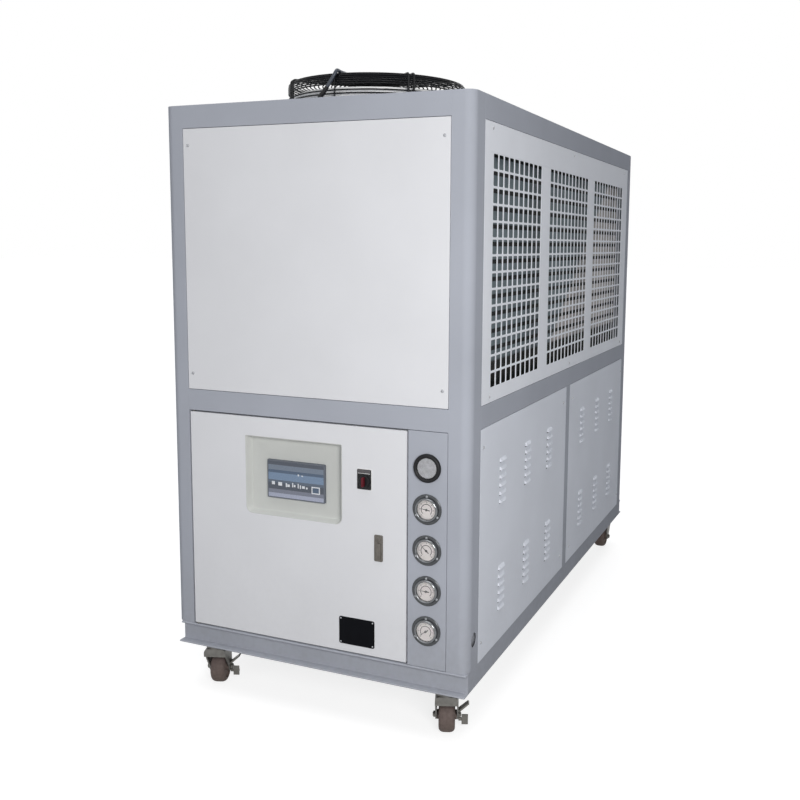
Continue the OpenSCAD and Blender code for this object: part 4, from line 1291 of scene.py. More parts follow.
@dataclass(frozen=True)
class Fan:
    """Axial fan under its wire guard.

    Attributes:
        key: place of the fan in names.
        wire: radius of a guard wire.
        leg_wire: radius of a doubled leg's wire.
        guard_r: outer radius of the guard.
        guard_h: height of the guard over the roof.
        plate_r: radius of the plate that carries the motor.
        plate_t: thickness of that plate.
        leg_in: how far a leg reaches in under the plate.
        rings: rings in the flat of the guard.
        flat_in: distance of the last flat ring from the guard's outside.
        ring_in_mm: distance of a ring's middle from its outside.
        skirt_mm: rings of the rim and skirt, each with its inset and its drop from the top.
        bend: radius of the bend at the guard's rim.
        pair: spacing of the doubled legs.
        pair_deg: turn of the doubled legs past the diagonals.
        blades: blades of the rotor.
        hub_mm: radius and height of the hub.
        tip_mm: radius of the blade tips.
        root_mm: how far the blades reach into the hub.
        drop_mm: how far the blades sit below the hub's middle.
        chord_mm: width of a blade at the hub, and what the span and its square add to it.
        pitch_deg: slope of a blade at the hub and what the span adds to it.
        lean_deg: turn of the middle line at the hub and what a power of the span adds to it.
        lean_power: that power.
        half_mm: half the thickness of a blade.
        bow_mm: height of a blade's bow.
    """

    key: str
    wire: float = 2.3 * MM
    leg_wire: float = 3.7 * MM
    guard_r: float = 286.0 * MM
    guard_h: float = 94.0 * MM
    plate_r: float = 80.0 * MM
    plate_t: float = 7.0 * MM
    leg_in: float = 8.0 * MM
    rings: int = 14
    flat_in: float = 14.0 * MM
    ring_in_mm: float = 2.0
    skirt_mm: tuple[Pair, ...] = ((6, 0.5), (2.5, 5), (1.5, 11), (1.5, 17), (1.5, 23), (1.5, 29), (1.5, 47),
                                  (1.5, 57))
    bend: float = 9.0 * MM
    pair: float = 17.5 * MM
    pair_deg: float = 2.0
    blades: int = 5
    hub_mm: Pair = (72.0, 60.0)
    tip_mm: float = 254.0
    root_mm: float = 4.0
    drop_mm: float = 4.0
    chord_mm: Triple = (112.0, 66.0, -22.0)
    pitch_deg: Pair = (38.0, -15.0)
    lean_deg: Pair = (-4.0, 20.0)
    lean_power: float = 1.6
    half_mm: float = 1.3
    bow_mm: float = 9.0

    def centre(self) -> Vector:
        """Gives the middle of the fan on the roof."""
        low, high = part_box("fan_guard_" + self.key)
        return Vector(((low.x + high.x) / 2, (low.y + high.y) / 2, low.z))

    def leg(self, centre: Vector, offset: float, wire: float, rise: float) -> Skin:
        """Draws one spoke: level from the plate, round the rim's bend and down to the roof.

        Args:
            centre: middle of the fan on the roof.
            offset: distance of the spoke from the line through the middle.
            wire: radius of its wire.
            rise: height of the spoke over the guard's top.

        Returns:
            The surface.
        """
        high, reach, bend = self.guard_h + rise, self.guard_r - 0.9 * wire, self.bend
        angle = np.linspace(0.0, TURN / 4, 7)
        out = np.concatenate([[self.plate_r - self.leg_in], reach - bend + bend * np.sin(angle), [reach]])
        up = np.concatenate([[high], high - bend + bend * np.cos(angle), [0.0]])
        path = np.stack([out, np.full(len(out), offset), up], axis=1) + np.array(centre)
        return swept(path, np.array([0.0, 1.0, 0.0]), wire, 8)

    def guard(self, centre: Vector) -> None:
        """Adds the wire guard with its rings, legs and middle plate.

        Args:
            centre: middle of the fan on the roof.
        """
        inside = self.ring_in_mm
        flat_r = self.guard_r - self.flat_in - inside * MM
        radii = self.plate_r + (np.arange(self.rings) + 1) * (flat_r - self.plate_r) / self.rings
        levels = [(float(r), self.guard_h - self.wire) for r in radii]
        levels += [(self.guard_r - (inset + inside) * MM, self.guard_h - (drop + inside) * MM)
                   for inset, drop in self.skirt_mm]
        level = np.array([0.0, 0.0, 1.0])
        skins = [swept(circle((centre.x, centre.y, centre.z + z), r, 120), level, self.wire, 7, closed=True)
                 for r, z in levels]
        quarter = np.arange(4) * TURN / 4
        skins.append(spun(self.leg(centre, 0.0, self.wire, -2.6 * self.wire), tuple(centre), quarter))
        for side in (-1, 1):
            pair = self.leg(centre, side * self.pair / 2, self.leg_wire, 0.4 * self.leg_wire)
            skins.append(spun(pair, tuple(centre), quarter + TURN / 8 + math.radians(self.pair_deg)))
        r, top = self.plate_r, self.guard_h
        plate = [(0.0, top - self.plate_t), (r, top - self.plate_t), (r, top - MM), (r - MM, top), (0.0, top)]
        skins.append(turned(Wall.ROOF.at(*centre), plate, 64))
        add_piece("guard_wires_" + self.key, skins, BLACK_WIRE, stands_for=("fan_guard_" + self.key,))

    def blade(self, foot: Place) -> Skin:
        """Draws one swept and twisted blade.

        Along the span the radius grows, the middle line leans back, the chord widens and the pitch flattens.
        Across the chord a point wraps round the axis by the chord's level part and rises by its upright part,
        and a thin lens gives the thickness.

        Args:
            foot: middle of the hub's foot.

        Returns:
            The closed surface.
        """
        span = np.linspace(0.0, 1.0, 14)[:, None]
        chord = np.linspace(-0.5, 0.5, 12)
        loop = np.concatenate([chord, chord[::-1]])[None, :]
        face = np.repeat([1.0, -1.0], 12)[None, :]
        root = self.hub_mm[0] - self.root_mm
        radius = root + (self.tip_mm - root) * span
        width = self.chord_mm[0] + self.chord_mm[1] * span + self.chord_mm[2] * span ** 2
        pitch = np.radians(self.pitch_deg[0] + self.pitch_deg[1] * span)
        lean = np.radians(self.lean_deg[0] + self.lean_deg[1] * span ** self.lean_power)
        lens = 1 - (2 * loop) ** 2
        high = self.bow_mm * lens + face * self.half_mm * np.sqrt(np.clip(lens, 0.02, 1))
        rise = loop * width * np.sin(pitch) + high * np.cos(pitch)
        angle = lean + (loop * width * np.cos(pitch) - high * np.sin(pitch)) / radius
        height = self.hub_mm[1] / 2 - self.drop_mm + rise
        points = np.stack([radius * np.cos(angle), radius * np.sin(angle), height], axis=-1) * MM
        return woven(foot.put(points), close_columns=True, caps=True)

    def rotor(self, centre: Vector) -> None:
        """Adds the hub and its blades.

        Args:
            centre: middle of the fan on the roof.
        """
        node = "fan_rotor_" + self.key
        r, h = self.hub_mm
        foot = Wall.ROOF.at(centre.x, centre.y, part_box(node)[1].z - h * MM)
        profile = [(0, 0), (r - 6, 0), (r - 1.5, 2), (r, 7), (r, h - 4), (r - 1, h - 1), (r - 4, h), (11, h),
                   (11, h - 12), (0, h - 12)]
        blades = spun(self.blade(foot), tuple(centre), np.arange(self.blades) * TURN / self.blades)
        skins = [turned(foot, from_mm(profile), 64), blades]
        add_piece("blades_" + self.key, skins, BLADE_PAINT, "rotor_" + self.key, (node,))

    def build(self) -> None:
        """Adds guard and rotor."""
        self.guard(self.centre())
        self.rotor(self.centre())


@dataclass(frozen=True)
class Roof:
    """Motors and rings of the fans.

    Attributes:
        motor_r: radius of a motor.
        shaft_r: radius of its shaft.
        lift: height of a motor's foot over the roof.
        ribs: cooling ribs up a motor.
        rib_deep: depth of the grooves between the ribs.
        rib_half: half the height of a rib.
        plain: height of the plain can below and above the ribs.
    """

    motor_r: float = 70.0 * MM
    shaft_r: float = 10.0 * MM
    lift: float = 2.0 * MM
    ribs: int = 9
    rib_deep: float = 5.0 * MM
    rib_half: float = 1.6 * MM
    plain: float = 8.0 * MM

    def build(self, fans: list[Fan]) -> None:
        """Adds the ribbed motors and dresses the rings.

        Args:
            fans: the fans.
        """
        dress("fan_rings", RING_PAINT, 0.8)
        low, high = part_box("fan_motors")
        skins = [self.motor(fan.centre(), low.z, high.z) for fan in fans]
        add_piece("ribbed_motors", skins, MOTOR_BLACK, stands_for=("fan_motors",))

    def motor(self, centre: Vector, low: float, high: float) -> Skin:
        """Turns one motor: a shaft below a can with round ribs.

        Args:
            centre: middle of the fan on the roof.
            low: height of the shaft's end.
            high: height of the motor's top.

        Returns:
            The surface.
        """
        r, shaft, foot = self.motor_r, self.shaft_r, centre.z + self.lift
        edges = np.linspace(foot + self.plain, high - self.plain, 2 * self.ribs + 1)
        deep = r - self.rib_deep * (np.arange(len(edges)) % 2)
        profile = [(0.0, low), (shaft, low), (shaft, foot), (r - 3 * MM, foot), (r, foot + 3 * MM)]
        profile += [(float(a), float(z) + shift) for a, z in zip(deep, edges)
                    for shift in (-self.rib_half, self.rib_half)]
        profile += [(r, high - 2 * MM), (r - 2 * MM, high), (0.0, high)]
        return turned(Wall.ROOF.at(centre.x, centre.y, 0.0), profile, 48)


@dataclass(frozen=True)
class Lead:
    """Motor lead of a fan, from its plate over the guard's rim and down into a gland on the roof.

    Attributes:
        fan: the fan that it feeds.
        turn_deg: direction in which it runs, counted round the fan.
        radius: radius of the lead.
        length: its whole length; not used.
        nut_mm: radius of the gland's six-sided nut.
        dome_mm: radius of the gland's dome, and of the boot where it leaves the dome.
        boot_points: points of the lead's curve that the tapered boot covers.
        rim_mm: radius of the guard's rim.
        route: points in millimetres, outwards, sideways and up from the middle of the fan on the roof.
    """

    fan: Fan
    turn_deg: float
    radius: float = 5.5 * MM
    length: float = 351 * MM
    nut_mm: float = 13.0
    dome_mm: float = 9.0
    boot_points: int = 20
    rim_mm: float = 286.0
    route: tuple[Triple, ...] = (
        (30, 0, 99.8), (80, 0, 99.8), (130, 0, 99.8), (180, 0, 99.8), (230, 0, 99.8),
        (rim_mm - 24, 0, 99.8), (rim_mm - 10, 0, 101.3), (rim_mm - 2, 0, 100.3),
        (rim_mm + 4, -1, 94.8), (rim_mm + 7, -5, 85.8), (rim_mm + 9, -14, 70.8), (rim_mm + 11, -28, 49.8),
        (rim_mm + 12, -40, 33.8), (rim_mm + 12, -46, 28), (rim_mm + 12, -48, 22))

    def build(self) -> None:
        """Adds the lead as a cord of its real length, and its gland."""
        angle = math.radians(self.turn_deg)
        along = (math.cos(angle), math.sin(angle), 0.0)
        aside = (-math.sin(angle), math.cos(angle), 0.0)
        place = Place(tuple(self.fan.centre()), along, aside, (0.0, 0.0, 1.0))
        path = smoothed(place.put(np.array(self.route, dtype=float) * MM))
        bar = swept(path, np.array(aside), self.radius, 12)
        lead = add_piece("fan_lead_" + self.fan.key, [bar], CABLE_RUBBER, stands_for=("fan_cables",))
        taper = np.linspace(self.radius + 0.6 * MM, (self.dome_mm - 0.5) * MM, self.boot_points)
        boot = swept(path[-self.boot_points:], np.array(aside), taper, 16)
        across, up, high_mm = self.route[-1]
        skins = [boot] + self.gland(place.moved(across * MM, up * MM), high_mm)
        add_piece("lead_gland_" + self.fan.key, skins, BLACK_PLASTIC, stands_for=("fan_cables",))

    def gland(self, seat: Place, high: float) -> list[Skin]:
        """Turns the six-sided nut and the dome of a gland.

        Args:
            seat: its middle on the roof.
            high: height of the dome in millimetres.

        Returns:
            The surfaces.
        """
        n, d = self.nut_mm, self.dome_mm
        nut = [(0, 0), (n, 0), (n, 7), (n - 1, 8), (0, 8)]
        dome = [(d, 7), (d, high - 6), (d - 1, high - 2), (d - 3, high), (0, high)]
        return [turned(seat, from_mm(nut), 6), turned(seat, from_mm(dome), 24)]


@dataclass(frozen=True)
class Gauges:
    """Column of pressure gauges with a dark sight gauge on top.

    Attributes:
        flange_mm: radius of a flange.
        case_mm: radius of a case.
        deep_mm: depth of a case behind the wall.
        pitch: spacing of the gauges.
        needles_deg: turn of the needles from lowest gauge to highest.
        screws: head radius, head height and socket radius of the flange screws, in millimetres.
        screw_ring: distance of the flange screws from the middle.
        screws_deg: places of the flange screws round it.
        marks: marks of the scale, of which every fifth is long.
        scale_deg: start and end of the scale.
        ink_mm: height of the printed scale over the wall.
        arc_mm: inner and outer radius of the arc inside the marks.
    """

    flange_mm: float = 44.0
    case_mm: float = 31.0
    deep_mm: float = 40.0
    pitch: float = 119.0 * MM
    needles_deg: tuple[float, ...] = (216.0, 178.0, 140.0, 172.0)
    screws: Triple = (3.4, 1.9, 1.5)
    screw_ring: float = 37.5 * MM
    screws_deg: Triple = (90.0, 210.0, 330.0)
    marks: int = 31
    scale_deg: Pair = (-45.0, 225.0)
    ink_mm: float = 4.8
    arc_mm: Pair = (14.9, 17.1)

    def build(self) -> None:
        """Adds flanges, collars, dials, needles, lenses, flange screws and the sight gauge."""
        low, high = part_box("pressure_gauges")
        foot = Wall.FRONT.at((low.x + high.x) / 2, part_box("gauge_panel")[0].y, low.z + self.flange_mm * MM)
        places = [foot.moved(0.0, number * self.pitch) for number in range(len(self.needles_deg))]
        flanges = [self.flange(place) for place in places]
        add_piece("gauge_flanges", flanges, GAUGE_STEEL, stands_for=("pressure_gauges",))
        add_piece("gauge_collars", [self.collar(place) for place in places], CHROME)
        add_piece("gauge_dials", [self.disc(place) for place in places], DIAL_WHITE)
        ink = [self.ticks(place) for place in places]
        ink += [self.needle(place, turn_deg) for place, turn_deg in zip(places, self.needles_deg)]
        add_piece("gauge_ink", ink, INK)
        add_piece("gauge_lenses", [self.lens(place, self.case_mm - 2.5, 9.0) for place in places], LENS)
        ring = self.screw_ring
        spots = [place.moved(ring * math.cos(angle), ring * math.sin(angle), 4 * MM).origin
                 for place in places for angle in np.radians(self.screws_deg)]
        Screws(*self.screws).build("gauge_screws", Wall.FRONT, spots)
        low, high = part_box("sight_gauge")
        self.sight(Wall.FRONT.at(foot.origin[0], foot.origin[1], (low.z + high.z) / 2))

    def flange(self, place: Place) -> Skin:
        """Turns one flange with the case behind it.

        Args:
            place: middle of the gauge on the wall.

        Returns:
            The surface.
        """
        r, c, deep = self.flange_mm, self.case_mm, self.deep_mm
        profile = [(0, -deep), (c, -deep), (c, 0), (r, 0), (r, 2.6), (r - 1.2, 3.8), (r - 2.5, 4), (c, 4),
                   (c - 3.2, 3), (0, 3)]
        return turned(place, from_mm(profile), 64)

    def collar(self, place: Place) -> Skin:
        """Turns one rolled collar: a rounded bead that runs up from the flange and in over the lens.

        Args:
            place: middle of the gauge on the wall.

        Returns:
            The surface.
        """
        c = self.case_mm
        bead = [(c - 3.3, 3.4), (c + 5, 3.4), (c + 4.7, 5.4), (c + 4.2, 6.9), (c + 3.4, 8.6), (c + 2.3, 10.2),
                (c + 1, 11.4), (c - 0.4, 12), (c - 1.7, 11.6), (c - 2.6, 10.6), (c - 3.1, 9), (c - 3.3, 3.4)]
        return turned(place, from_mm(bead), 64)

    def disc(self, place: Place) -> Skin:
        """Turns one dial plate about the middle of its gauge."""
        r = self.case_mm - 3.6
        return turned(place, from_mm([(0, 3.2), (r, 3.2), (r, 4.6), (0, 4.6)]), 48)

    def ticks(self, place: Place) -> Skin:
        """Draws the scale: short bars round three quarters of the dial and a thin arc inside them.

        Args:
            place: middle of the gauge on the wall.

        Returns:
            The surface.
        """
        angle = np.radians(np.linspace(*self.scale_deg, self.marks))
        long = np.arange(self.marks)[:, None] % 5 == 0
        inner, outer = np.where(long, 19.5, 22.0), 25.0
        half = np.where(long, 0.7, 0.45)
        ray = np.stack([np.cos(angle), np.sin(angle)], axis=1)
        side = np.stack([-np.sin(angle), np.cos(angle)], axis=1) * half
        near, far = ray * inner, ray * outer
        quads = np.stack([near - side, far - side, far + side, near + side], axis=1)
        points = place.put(raised(quads.reshape(-1, 2), self.ink_mm) * MM)
        bars = Skin(points, [np.arange(len(points)).reshape(-1, 4)])
        sweep = np.radians(np.linspace(*self.scale_deg, 41))
        line = np.stack([np.cos(sweep), np.sin(sweep)], axis=1)
        arc = np.stack([raised(r * line, self.ink_mm) for r in self.arc_mm]) * MM
        return join([bars, woven(place.put(arc))])

    def needle(self, place: Place, turn_deg: float) -> Skin:
        """Draws one needle: a tapered bar across a round boss.

        Args:
            place: middle of the gauge on the wall.
            turn_deg: direction of its tip.

        Returns:
            The surface.
        """
        angle = math.radians(turn_deg)
        cos, sin = math.cos(angle), math.sin(angle)
        shape = np.array([[-10, -1.5], [22, -0.4], [22, 0.4], [-10, 1.5]])
        shape = shape @ np.array([[cos, sin], [-sin, cos]])
        rings = np.stack([raised(shape, rise) for rise in (5.6, 6.2)]) * MM
        boss = [(0, 4.6), (3.4, 4.6), (3.4, 6.8), (2.6, 7.4), (0, 7.4)]
        bar = woven(place.put(rings), close_columns=True, caps=True)
        return join([bar, turned(place, from_mm(boss), 20)])

    def lens(self, place: Place, r: float, h: float) -> Skin:
        """Turns one slightly domed lens.

        Args:
            place: middle of the gauge on the wall.
            r: its radius in millimetres.
            h: its height over the wall in millimetres.

        Returns:
            The surface.
        """
        dome = [(0, h - 0.8), (r, h - 0.8), (r, h), (0.7 * r, h + 0.7), (0.35 * r, h + 1.1), (0, h + 1.2)]
        return turned(place, from_mm(dome), 40)

    def sight(self, place: Place) -> None:
        """Adds the sight gauge: a deep black bezel round a grey dish and a lens.

        Args:
            place: middle of the gauge on the wall.
        """
        r, c, deep = self.flange_mm - 3, self.case_mm, self.deep_mm
        bezel = [(0, -deep), (c, -deep), (c, 0), (r, 0), (r, 6), (r - 1.5, 8.6), (r - 4, 10), (r - 7.5, 9.6),
                 (r - 10.5, 7), (r - 12, 2.5), (0, 2.5)]
        rim = turned(place, from_mm(bezel), 64)
        add_piece("sight_bezel", [rim], BLACK_PLASTIC, stands_for=("sight_gauge",))
        d = r - 12.5
        dish = [(0, 2.7), (d, 2.7), (d, 4), (0.6 * d, 3.4), (0, 3.2)]
        add_piece("sight_dish", [turned(place, from_mm(dish), 48)], DISH_ENAMEL)
        add_piece("sight_lens", [self.lens(place, r - 11.5, 6.0)], LENS)


@dataclass(frozen=True)
class ControlDoor:
    """Door with a sunk display pan, screen, main switch, latch and bare plate.

    Attributes:
        pan_r: radius of the pan's lower and of its upper corners.
        slope_mm: width of the pan's sloping sides.
        margin: width of the bezel round the lit face of the screen, both sides together.
        bands: lit bands of the screen from its foot, each with its upper edge as a share of the screen.
        icons: marks on the screen, each with its middle, width and height as shares of the screen.
        button: middle of the screen's button, as shares of the screen.
        button_size: its width and height, as shares of the screen.
        field_size: the same for its inner field.
        rises_mm: heights of the bands, of the marks and of the button's field over the screen.
        strips: strips of the switch, each with its drop from the top and its height in millimetres.
        hub: middle of the switch's collar.
        handle: width and length of the switch's handle.
        paddle_drop: how far the latch's paddle sits below the middle.
        lock_drop: distance of the latch's lock from the top.
        rivets: head radius, head height and socket radius of the plate's rivets, in millimetres.
        rivet_in: distance of the rivets from the plate's edges.
    """

    pan_r: Pair = (22.0 * MM, 4.0 * MM)
    slope_mm: float = 3.0
    margin: float = 8.0 * MM
    bands: tuple[tuple[str, float, Finish], ...] = (
        ("foot", 0.11, SCREEN_LILAC), ("field", 0.22, SCREEN_MAUVE), ("strip", 0.40, SCREEN_DARK),
        ("ledge", 0.48, SCREEN_STEEL), ("lower", 0.68, SCREEN_BLUE), ("upper", 0.76, SCREEN_SLATE),
        ("title", 0.90, SCREEN_PALE), ("top", 1.00, SCREEN_DARK))
    icons: tuple[tuple[float, float, float, float], ...] = (
        (-0.41, -0.115, 0.055, 0.09), (-0.285, -0.125, 0.07, 0.10), (-0.17, -0.14, 0.025, 0.11),
        (-0.13, -0.15, 0.045, 0.07), (-0.055, -0.12, 0.02, 0.12), (-0.02, -0.14, 0.03, 0.06),
        (0.045, -0.13, 0.018, 0.13), (0.085, -0.15, 0.02, 0.10), (0.14, -0.15, 0.05, 0.07),
        (0.2, -0.165, 0.03, 0.05), (0.05, 0.17, 0.025, 0.05), (0.12, 0.16, 0.03, 0.03))
    button: Pair = (0.36, -0.2)
    button_size: Pair = (0.15, 0.2)
    field_size: Pair = (0.115, 0.14)
    rises_mm: Triple = (0.25, 0.45, 0.6)
    strips: tuple[tuple[str, float, float, Finish], ...] = (
        ("switch_strip", 7.0, 9.0, GREY_PLASTIC), ("switch_line", 13.2, 1.6, WHITE_PLASTIC))
    hub: Pair = (2.0 * MM, -5.0 * MM)
    handle: Pair = (6.0 * MM, 28.0 * MM)
    paddle_drop: float = 9.0 * MM
    lock_drop: float = 13.0 * MM
    rivets: Triple = (2.4, 1.2, 0.6)
    rivet_in: float = 6.0 * MM

    def front(self, node: str, depth: float = 0.0) -> tuple[Place, float, float]:
        """Gives the local frame of a solid on the door's face.

        Args:
            node: the solid.
            depth: how far the frame lies behind the door's face.

        Returns:
            The frame at the solid's middle, and its width and height.
        """
        low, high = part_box(node)
        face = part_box("control_door")[0].y + depth
        place = Wall.FRONT.at((low.x + high.x) / 2, face, (low.z + high.z) / 2)
        return place, high.x - low.x, high.z - low.z

    def build(self) -> None:
        """Dresses the door and adds its fittings."""
        dress("control_door", PANEL_PAINT, 1.1)
        dress("door_hinges", ZINC)
        self.pan()
        self.screen()
        self.switch()
        self.latch()
        self.plate()

    def pan(self) -> None:
        """Adds the dished pan: a thin rim, sloping sides and a flat floor."""
        place, width, height = self.front("display_pan")
        deep = (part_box("display_pan")[1].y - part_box("control_door")[0].y) / MM
        floor, slope = deep - 3, self.slope_mm
        steps = [(3 + slope, -deep), (3, -6), (0, -2.2), (0, -0.3), (0.5, 0), (1.8, -0.2), (3, -1.6),
                 (3.4 + slope, 2.5 - floor), (5.5 + slope, 0.6 - floor), (9 + slope, -floor)]
        pan = slab(place, width, height, self.pan_r, from_mm(steps), 8)
        add_piece("dished_pan", [pan], IVORY, "door", ("display_pan",), 50.0)

    def screen(self) -> None:
        """Adds the screen: a bezel, and lit bands, icons and a button on its face."""
        low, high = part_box("touch_screen")
        place, width, height = self.front("touch_screen", low.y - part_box("control_door")[0].y)
        steps = [(7, (low.y - high.y) / MM), (7, -8), (0, -8), (0, -1), (0.6, -0.2), (1.5, 0)]
        bezel = slab(place, width, height, (3 * MM, 3 * MM), from_mm(steps), 4)
        add_piece("screen_bezel", [bezel], SCREEN_BEZEL, "door", ("touch_screen",))
        face = (width - self.margin, height - self.margin)
        band_mm, mark_mm, field_mm = self.rises_mm
        start = 0.0
        for name, stop, finish in self.bands:
            band = self.patch(place, face, (0.0, (start + stop) / 2 - 0.5), (1.0, stop - start), band_mm)
            add_piece("screen_" + name, [band], finish, "door")
            start = stop
        icons = [self.patch(place, face, icon[:2], icon[2:], mark_mm) for icon in self.icons]
        add_piece("screen_icons", icons, SCREEN_WHITE, "door")
        button = self.patch(place, face, self.button, self.button_size, mark_mm)
        add_piece("screen_button", [button], SCREEN_WHITE, "door")
        field = self.patch(place, face, self.button, self.field_size, field_mm)
        add_piece("screen_button_field", [field], SCREEN_SLATE, "door")

    def patch(self, place: Place, face: Pair, spot: Pair, size: Pair, rise_mm: float) -> Skin:
        """Draws a flat patch on the screen.

        Args:
            place: middle of the screen.
            face: width and height of the lit face.
            spot: middle of the patch, as shares of the face.
            size: its width and height, as shares of the face.
            rise_mm: its height over the screen.

        Returns:
            The closed surface.
        """
        there = place.moved(spot[0] * face[0], spot[1] * face[1])
        steps = from_mm([(0, 0), (0, rise_mm)])
        return slab(there, size[0] * face[0], size[1] * face[1], (0.2 * MM, 0.2 * MM), steps, 2)

    def switch(self) -> None:
        """Adds the main switch: white rim, black plate, two strips, collar and red handle."""
        place, width, height = self.front("rotary_switch")
        rim = slab(place, width, height, (4 * MM, 4 * MM), plate_steps(1.6, 0.8), 5)
        add_piece("switch_rim", [rim], WHITE_PLASTIC, "door")
        plate = slab(place, width - 3 * MM, height - 3 * MM, (3 * MM, 3 * MM), plate_steps(3.0, 0.8), 5)
        add_piece("switch_plate", [plate], BLACK_PLASTIC, "door", ("rotary_switch",))
        for name, drop_mm, tall_mm, finish in self.strips:
            there = place.moved(0.0, height / 2 - drop_mm * MM)
            strip = slab(there, width - 8 * MM, tall_mm * MM, (0.6 * MM, 0.6 * MM), plate_steps(3.5, 0.3), 3)
            add_piece(name, [strip], finish, "door")
        hub = place.moved(*self.hub)
        collar = [(0, 2.8), (18, 2.8), (17.4, 7.5), (16, 9), (0, 9)]
        add_piece("switch_collar", [turned(hub, from_mm(collar), 48)], BLACK_PLASTIC, "door")
        reach = (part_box("control_door")[0].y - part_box("rotary_switch")[0].y) / MM
        steps = [(0, 8.5), (0, reach - 2.2), (0.7, reach - 0.6), (2.2, reach)]
        grip = slab(hub, *self.handle, (2.6 * MM, 2.6 * MM), from_mm(steps), 6)
        add_piece("switch_handle", [grip], RED_PLASTIC, "door")

    def latch(self) -> None:
        """Adds the latch: a plate, a paddle and a round lock."""
        place, width, height = self.front("door_latch")
        plate = slab(place, width, height, (4 * MM, 4 * MM), plate_steps(3, 0.9), 5)
        steps = from_mm([(0, 2.8), (0, 4.8), (0.6, 5.7), (1.6, 6)])
        paddle = place.moved(0.0, -self.paddle_drop)
        grip = slab(paddle, width - 10 * MM, height - 30 * MM, (3 * MM, 3 * MM), steps, 5)
        profile = [(0, 2.8), (8, 2.8), (8, 4.4), (7.2, 5), (3.2, 5), (3.2, 4), (0, 4)]
        barrel = turned(place.moved(0.0, height / 2 - self.lock_drop), from_mm(profile), 32)
        add_piece("latch_plate", [plate, grip, barrel], LATCH_STEEL, "door", ("door_latch",))

    def plate(self) -> None:
        """Adds the bare black plate and its four rivets."""
        place, width, height = self.front("nameplate")
        plate = slab(place, width, height, (6 * MM, 6 * MM), plate_steps(1, 0.4), 6)
        add_piece("bare_plate", [plate], BLACK_PLATE, "door", ("nameplate",))
        across, up = width / 2 - self.rivet_in, height / 2 - self.rivet_in
        spots = [place.moved(sx * across, sy * up, MM).origin for sx in (-1, 1) for sy in (-1, 1)]
        Screws(*self.rivets).build("plate_rivets", Wall.FRONT, spots, "door")


@dataclass(frozen=True)
class Caster:
    """One caster: its fork and its wheel.

    Attributes:
        key: its corner in names.
        turn_deg: turn about its swivel axis at rest.
        radius_mm: radius of the wheel.
        width_mm: width of the tread.
        hub_mm: half the length of the hub.
    """

    key: str
    turn_deg: float
    radius_mm: float = 50.0
    width_mm: float = 48.0
    hub_mm: float = 29.2

    def build(self) -> None:
        """Dresses the fork and adds the wheel."""
        dress("caster_fork_" + self.key, ZINC, 0.7)
        node = "caster_wheel_" + self.key
        low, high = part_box(node)
        angle = math.radians(self.turn_deg)
        cos, sin = math.cos(angle), math.sin(angle)
        place = Place(tuple((low + high) / 2), (-sin, cos, 0.0), (0.0, 0.0, 1.0), (cos, sin, 0.0))
        r, half, hub = self.radius_mm, self.width_mm / 2, self.hub_mm
        side = [(7, hub), (13, hub), (14, hub - 1), (14, half - 6), (34, half - 6), (36, half - 5),
                (36.6, half - 0.8), (37.6, half), (40, half - 0.4), (43, half - 1.7), (45.6, half - 3.8),
                (47.6, half - 6.6), (49, half - 10), (r - 0.2, half - 14), (r, half - 18)]
        profile = side + [(a, -b) for a, b in side[::-1]] + side[:1]
        wheel = turned(place, from_mm(profile), 64)
        add_piece("tread_" + self.key, [wheel], TREAD, "wheel_" + self.key, (node,))


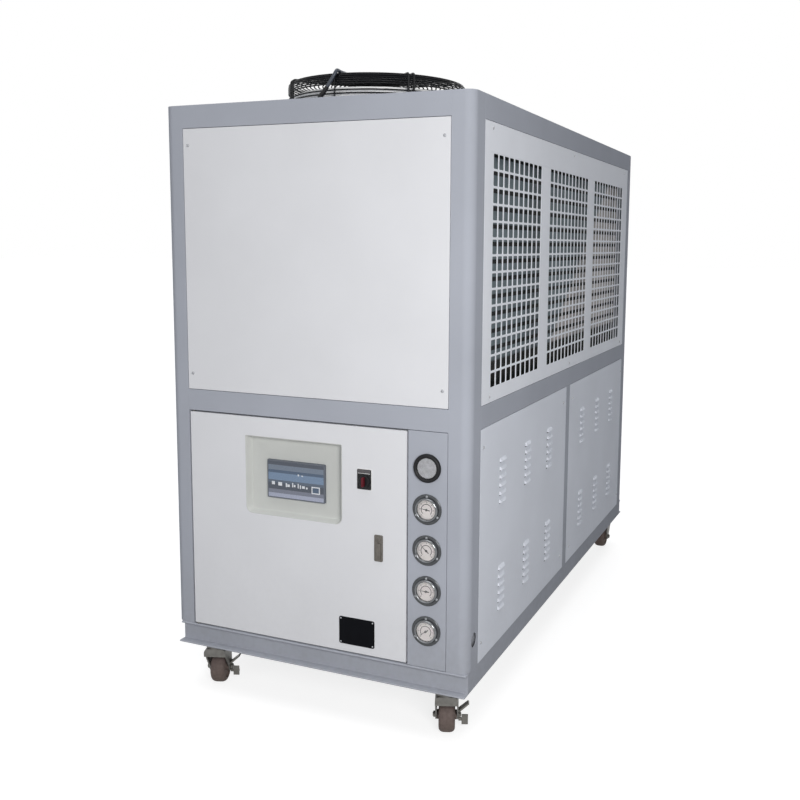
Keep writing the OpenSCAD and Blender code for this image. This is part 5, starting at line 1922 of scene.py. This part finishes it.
@dataclass(frozen=True)
class Connections:
    """Water sockets at the rear.

    Attributes:
        bore_mm: radius of a socket's bore.
        wall_mm: thickness of its wall.
        collar_mm: width of the collar round it.
        reach_mm: distance of its end from the wall.
        deep_mm: depth of the socket behind the wall.
        thread_mm: pitch of the thread inside.
        groove_mm: depth of the thread.
        edges: edges of the thread's grooves.
    """

    bore_mm: float = 26.0
    wall_mm: float = 7.0
    collar_mm: float = 10.0
    reach_mm: float = 22.0
    deep_mm: float = 60.0
    thread_mm: float = 2.3
    groove_mm: float = 1.1
    edges: int = 14

    def build(self) -> None:
        """Adds both sockets."""
        low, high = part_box("water_sockets")
        x, wall_y = (low.x + high.x) / 2, high.y - self.reach_mm * MM
        wide = (self.bore_mm + self.wall_mm + self.collar_mm) * MM
        skins = [self.socket(Wall.REAR.at(x, wall_y, z)) for z in (low.z + wide, high.z - wide)]
        add_piece("threaded_sockets", skins, GALVANISED, stands_for=("water_sockets",))

    def socket(self, place: Place) -> Skin:
        """Turns one socket: a collar on the wall, a plain outside and grooves of a thread inside.

        Args:
            place: middle of the socket on the wall.

        Returns:
            The surface.
        """
        bore, reach, deep = self.bore_mm, self.reach_mm, self.deep_mm
        outer = bore + self.wall_mm
        wide = outer + self.collar_mm
        profile = [(0, -deep), (outer, -deep), (outer, 0), (wide, 0), (wide, 3), (wide - 1, 4), (outer, 4),
                   (outer, reach - 1), (outer - 1, reach), (bore + 1.5, reach)]
        profile += [(bore + self.groove_mm * (edge % 2), reach - 1.5 - edge * self.thread_mm / 2)
                    for edge in range(self.edges)]
        profile += [(bore, 10 - deep), (0, 10 - deep)]
        return turned(place, from_mm(profile), 48)


def main() -> None:
    """Builds the chiller in order and reports each piece."""
    logging.basicConfig(level=logging.INFO, format="%(name)s: %(message)s")
    Studio().build()
    Cabinet().build()
    for wall in SIDES:
        Grille(wall).build()
        LouvrePanels(wall).build()
    ControlDoor().build()
    Gauges().build()
    fans = [Fan(key) for key in ("front", "middle", "rear")]
    for fan in fans:
        fan.build()
    Roof().build(fans)
    for fan, turn_deg in zip(fans, (271.5, 200.0, 200.0)):
        Lead(fan, turn_deg).build()
    dress("caster_plates", ZINC, 0.8)
    rest = {"front_left": 200.0, "front_right": 201.0, "rear_left": 0.0, "rear_right": 0.0}
    for key, turn_deg in rest.items():
        Caster(key, turn_deg).build()
    Connections().build()
    for piece in bpy.context.scene.objects:
        if piece.type == "MESH":
            looks = ", ".join(material.name for material in piece.data.materials if material)
            LOG.info("%s: %d faces, %s", piece.name, len(piece.data.polygons), looks)


if __name__ == "__main__":
    main()
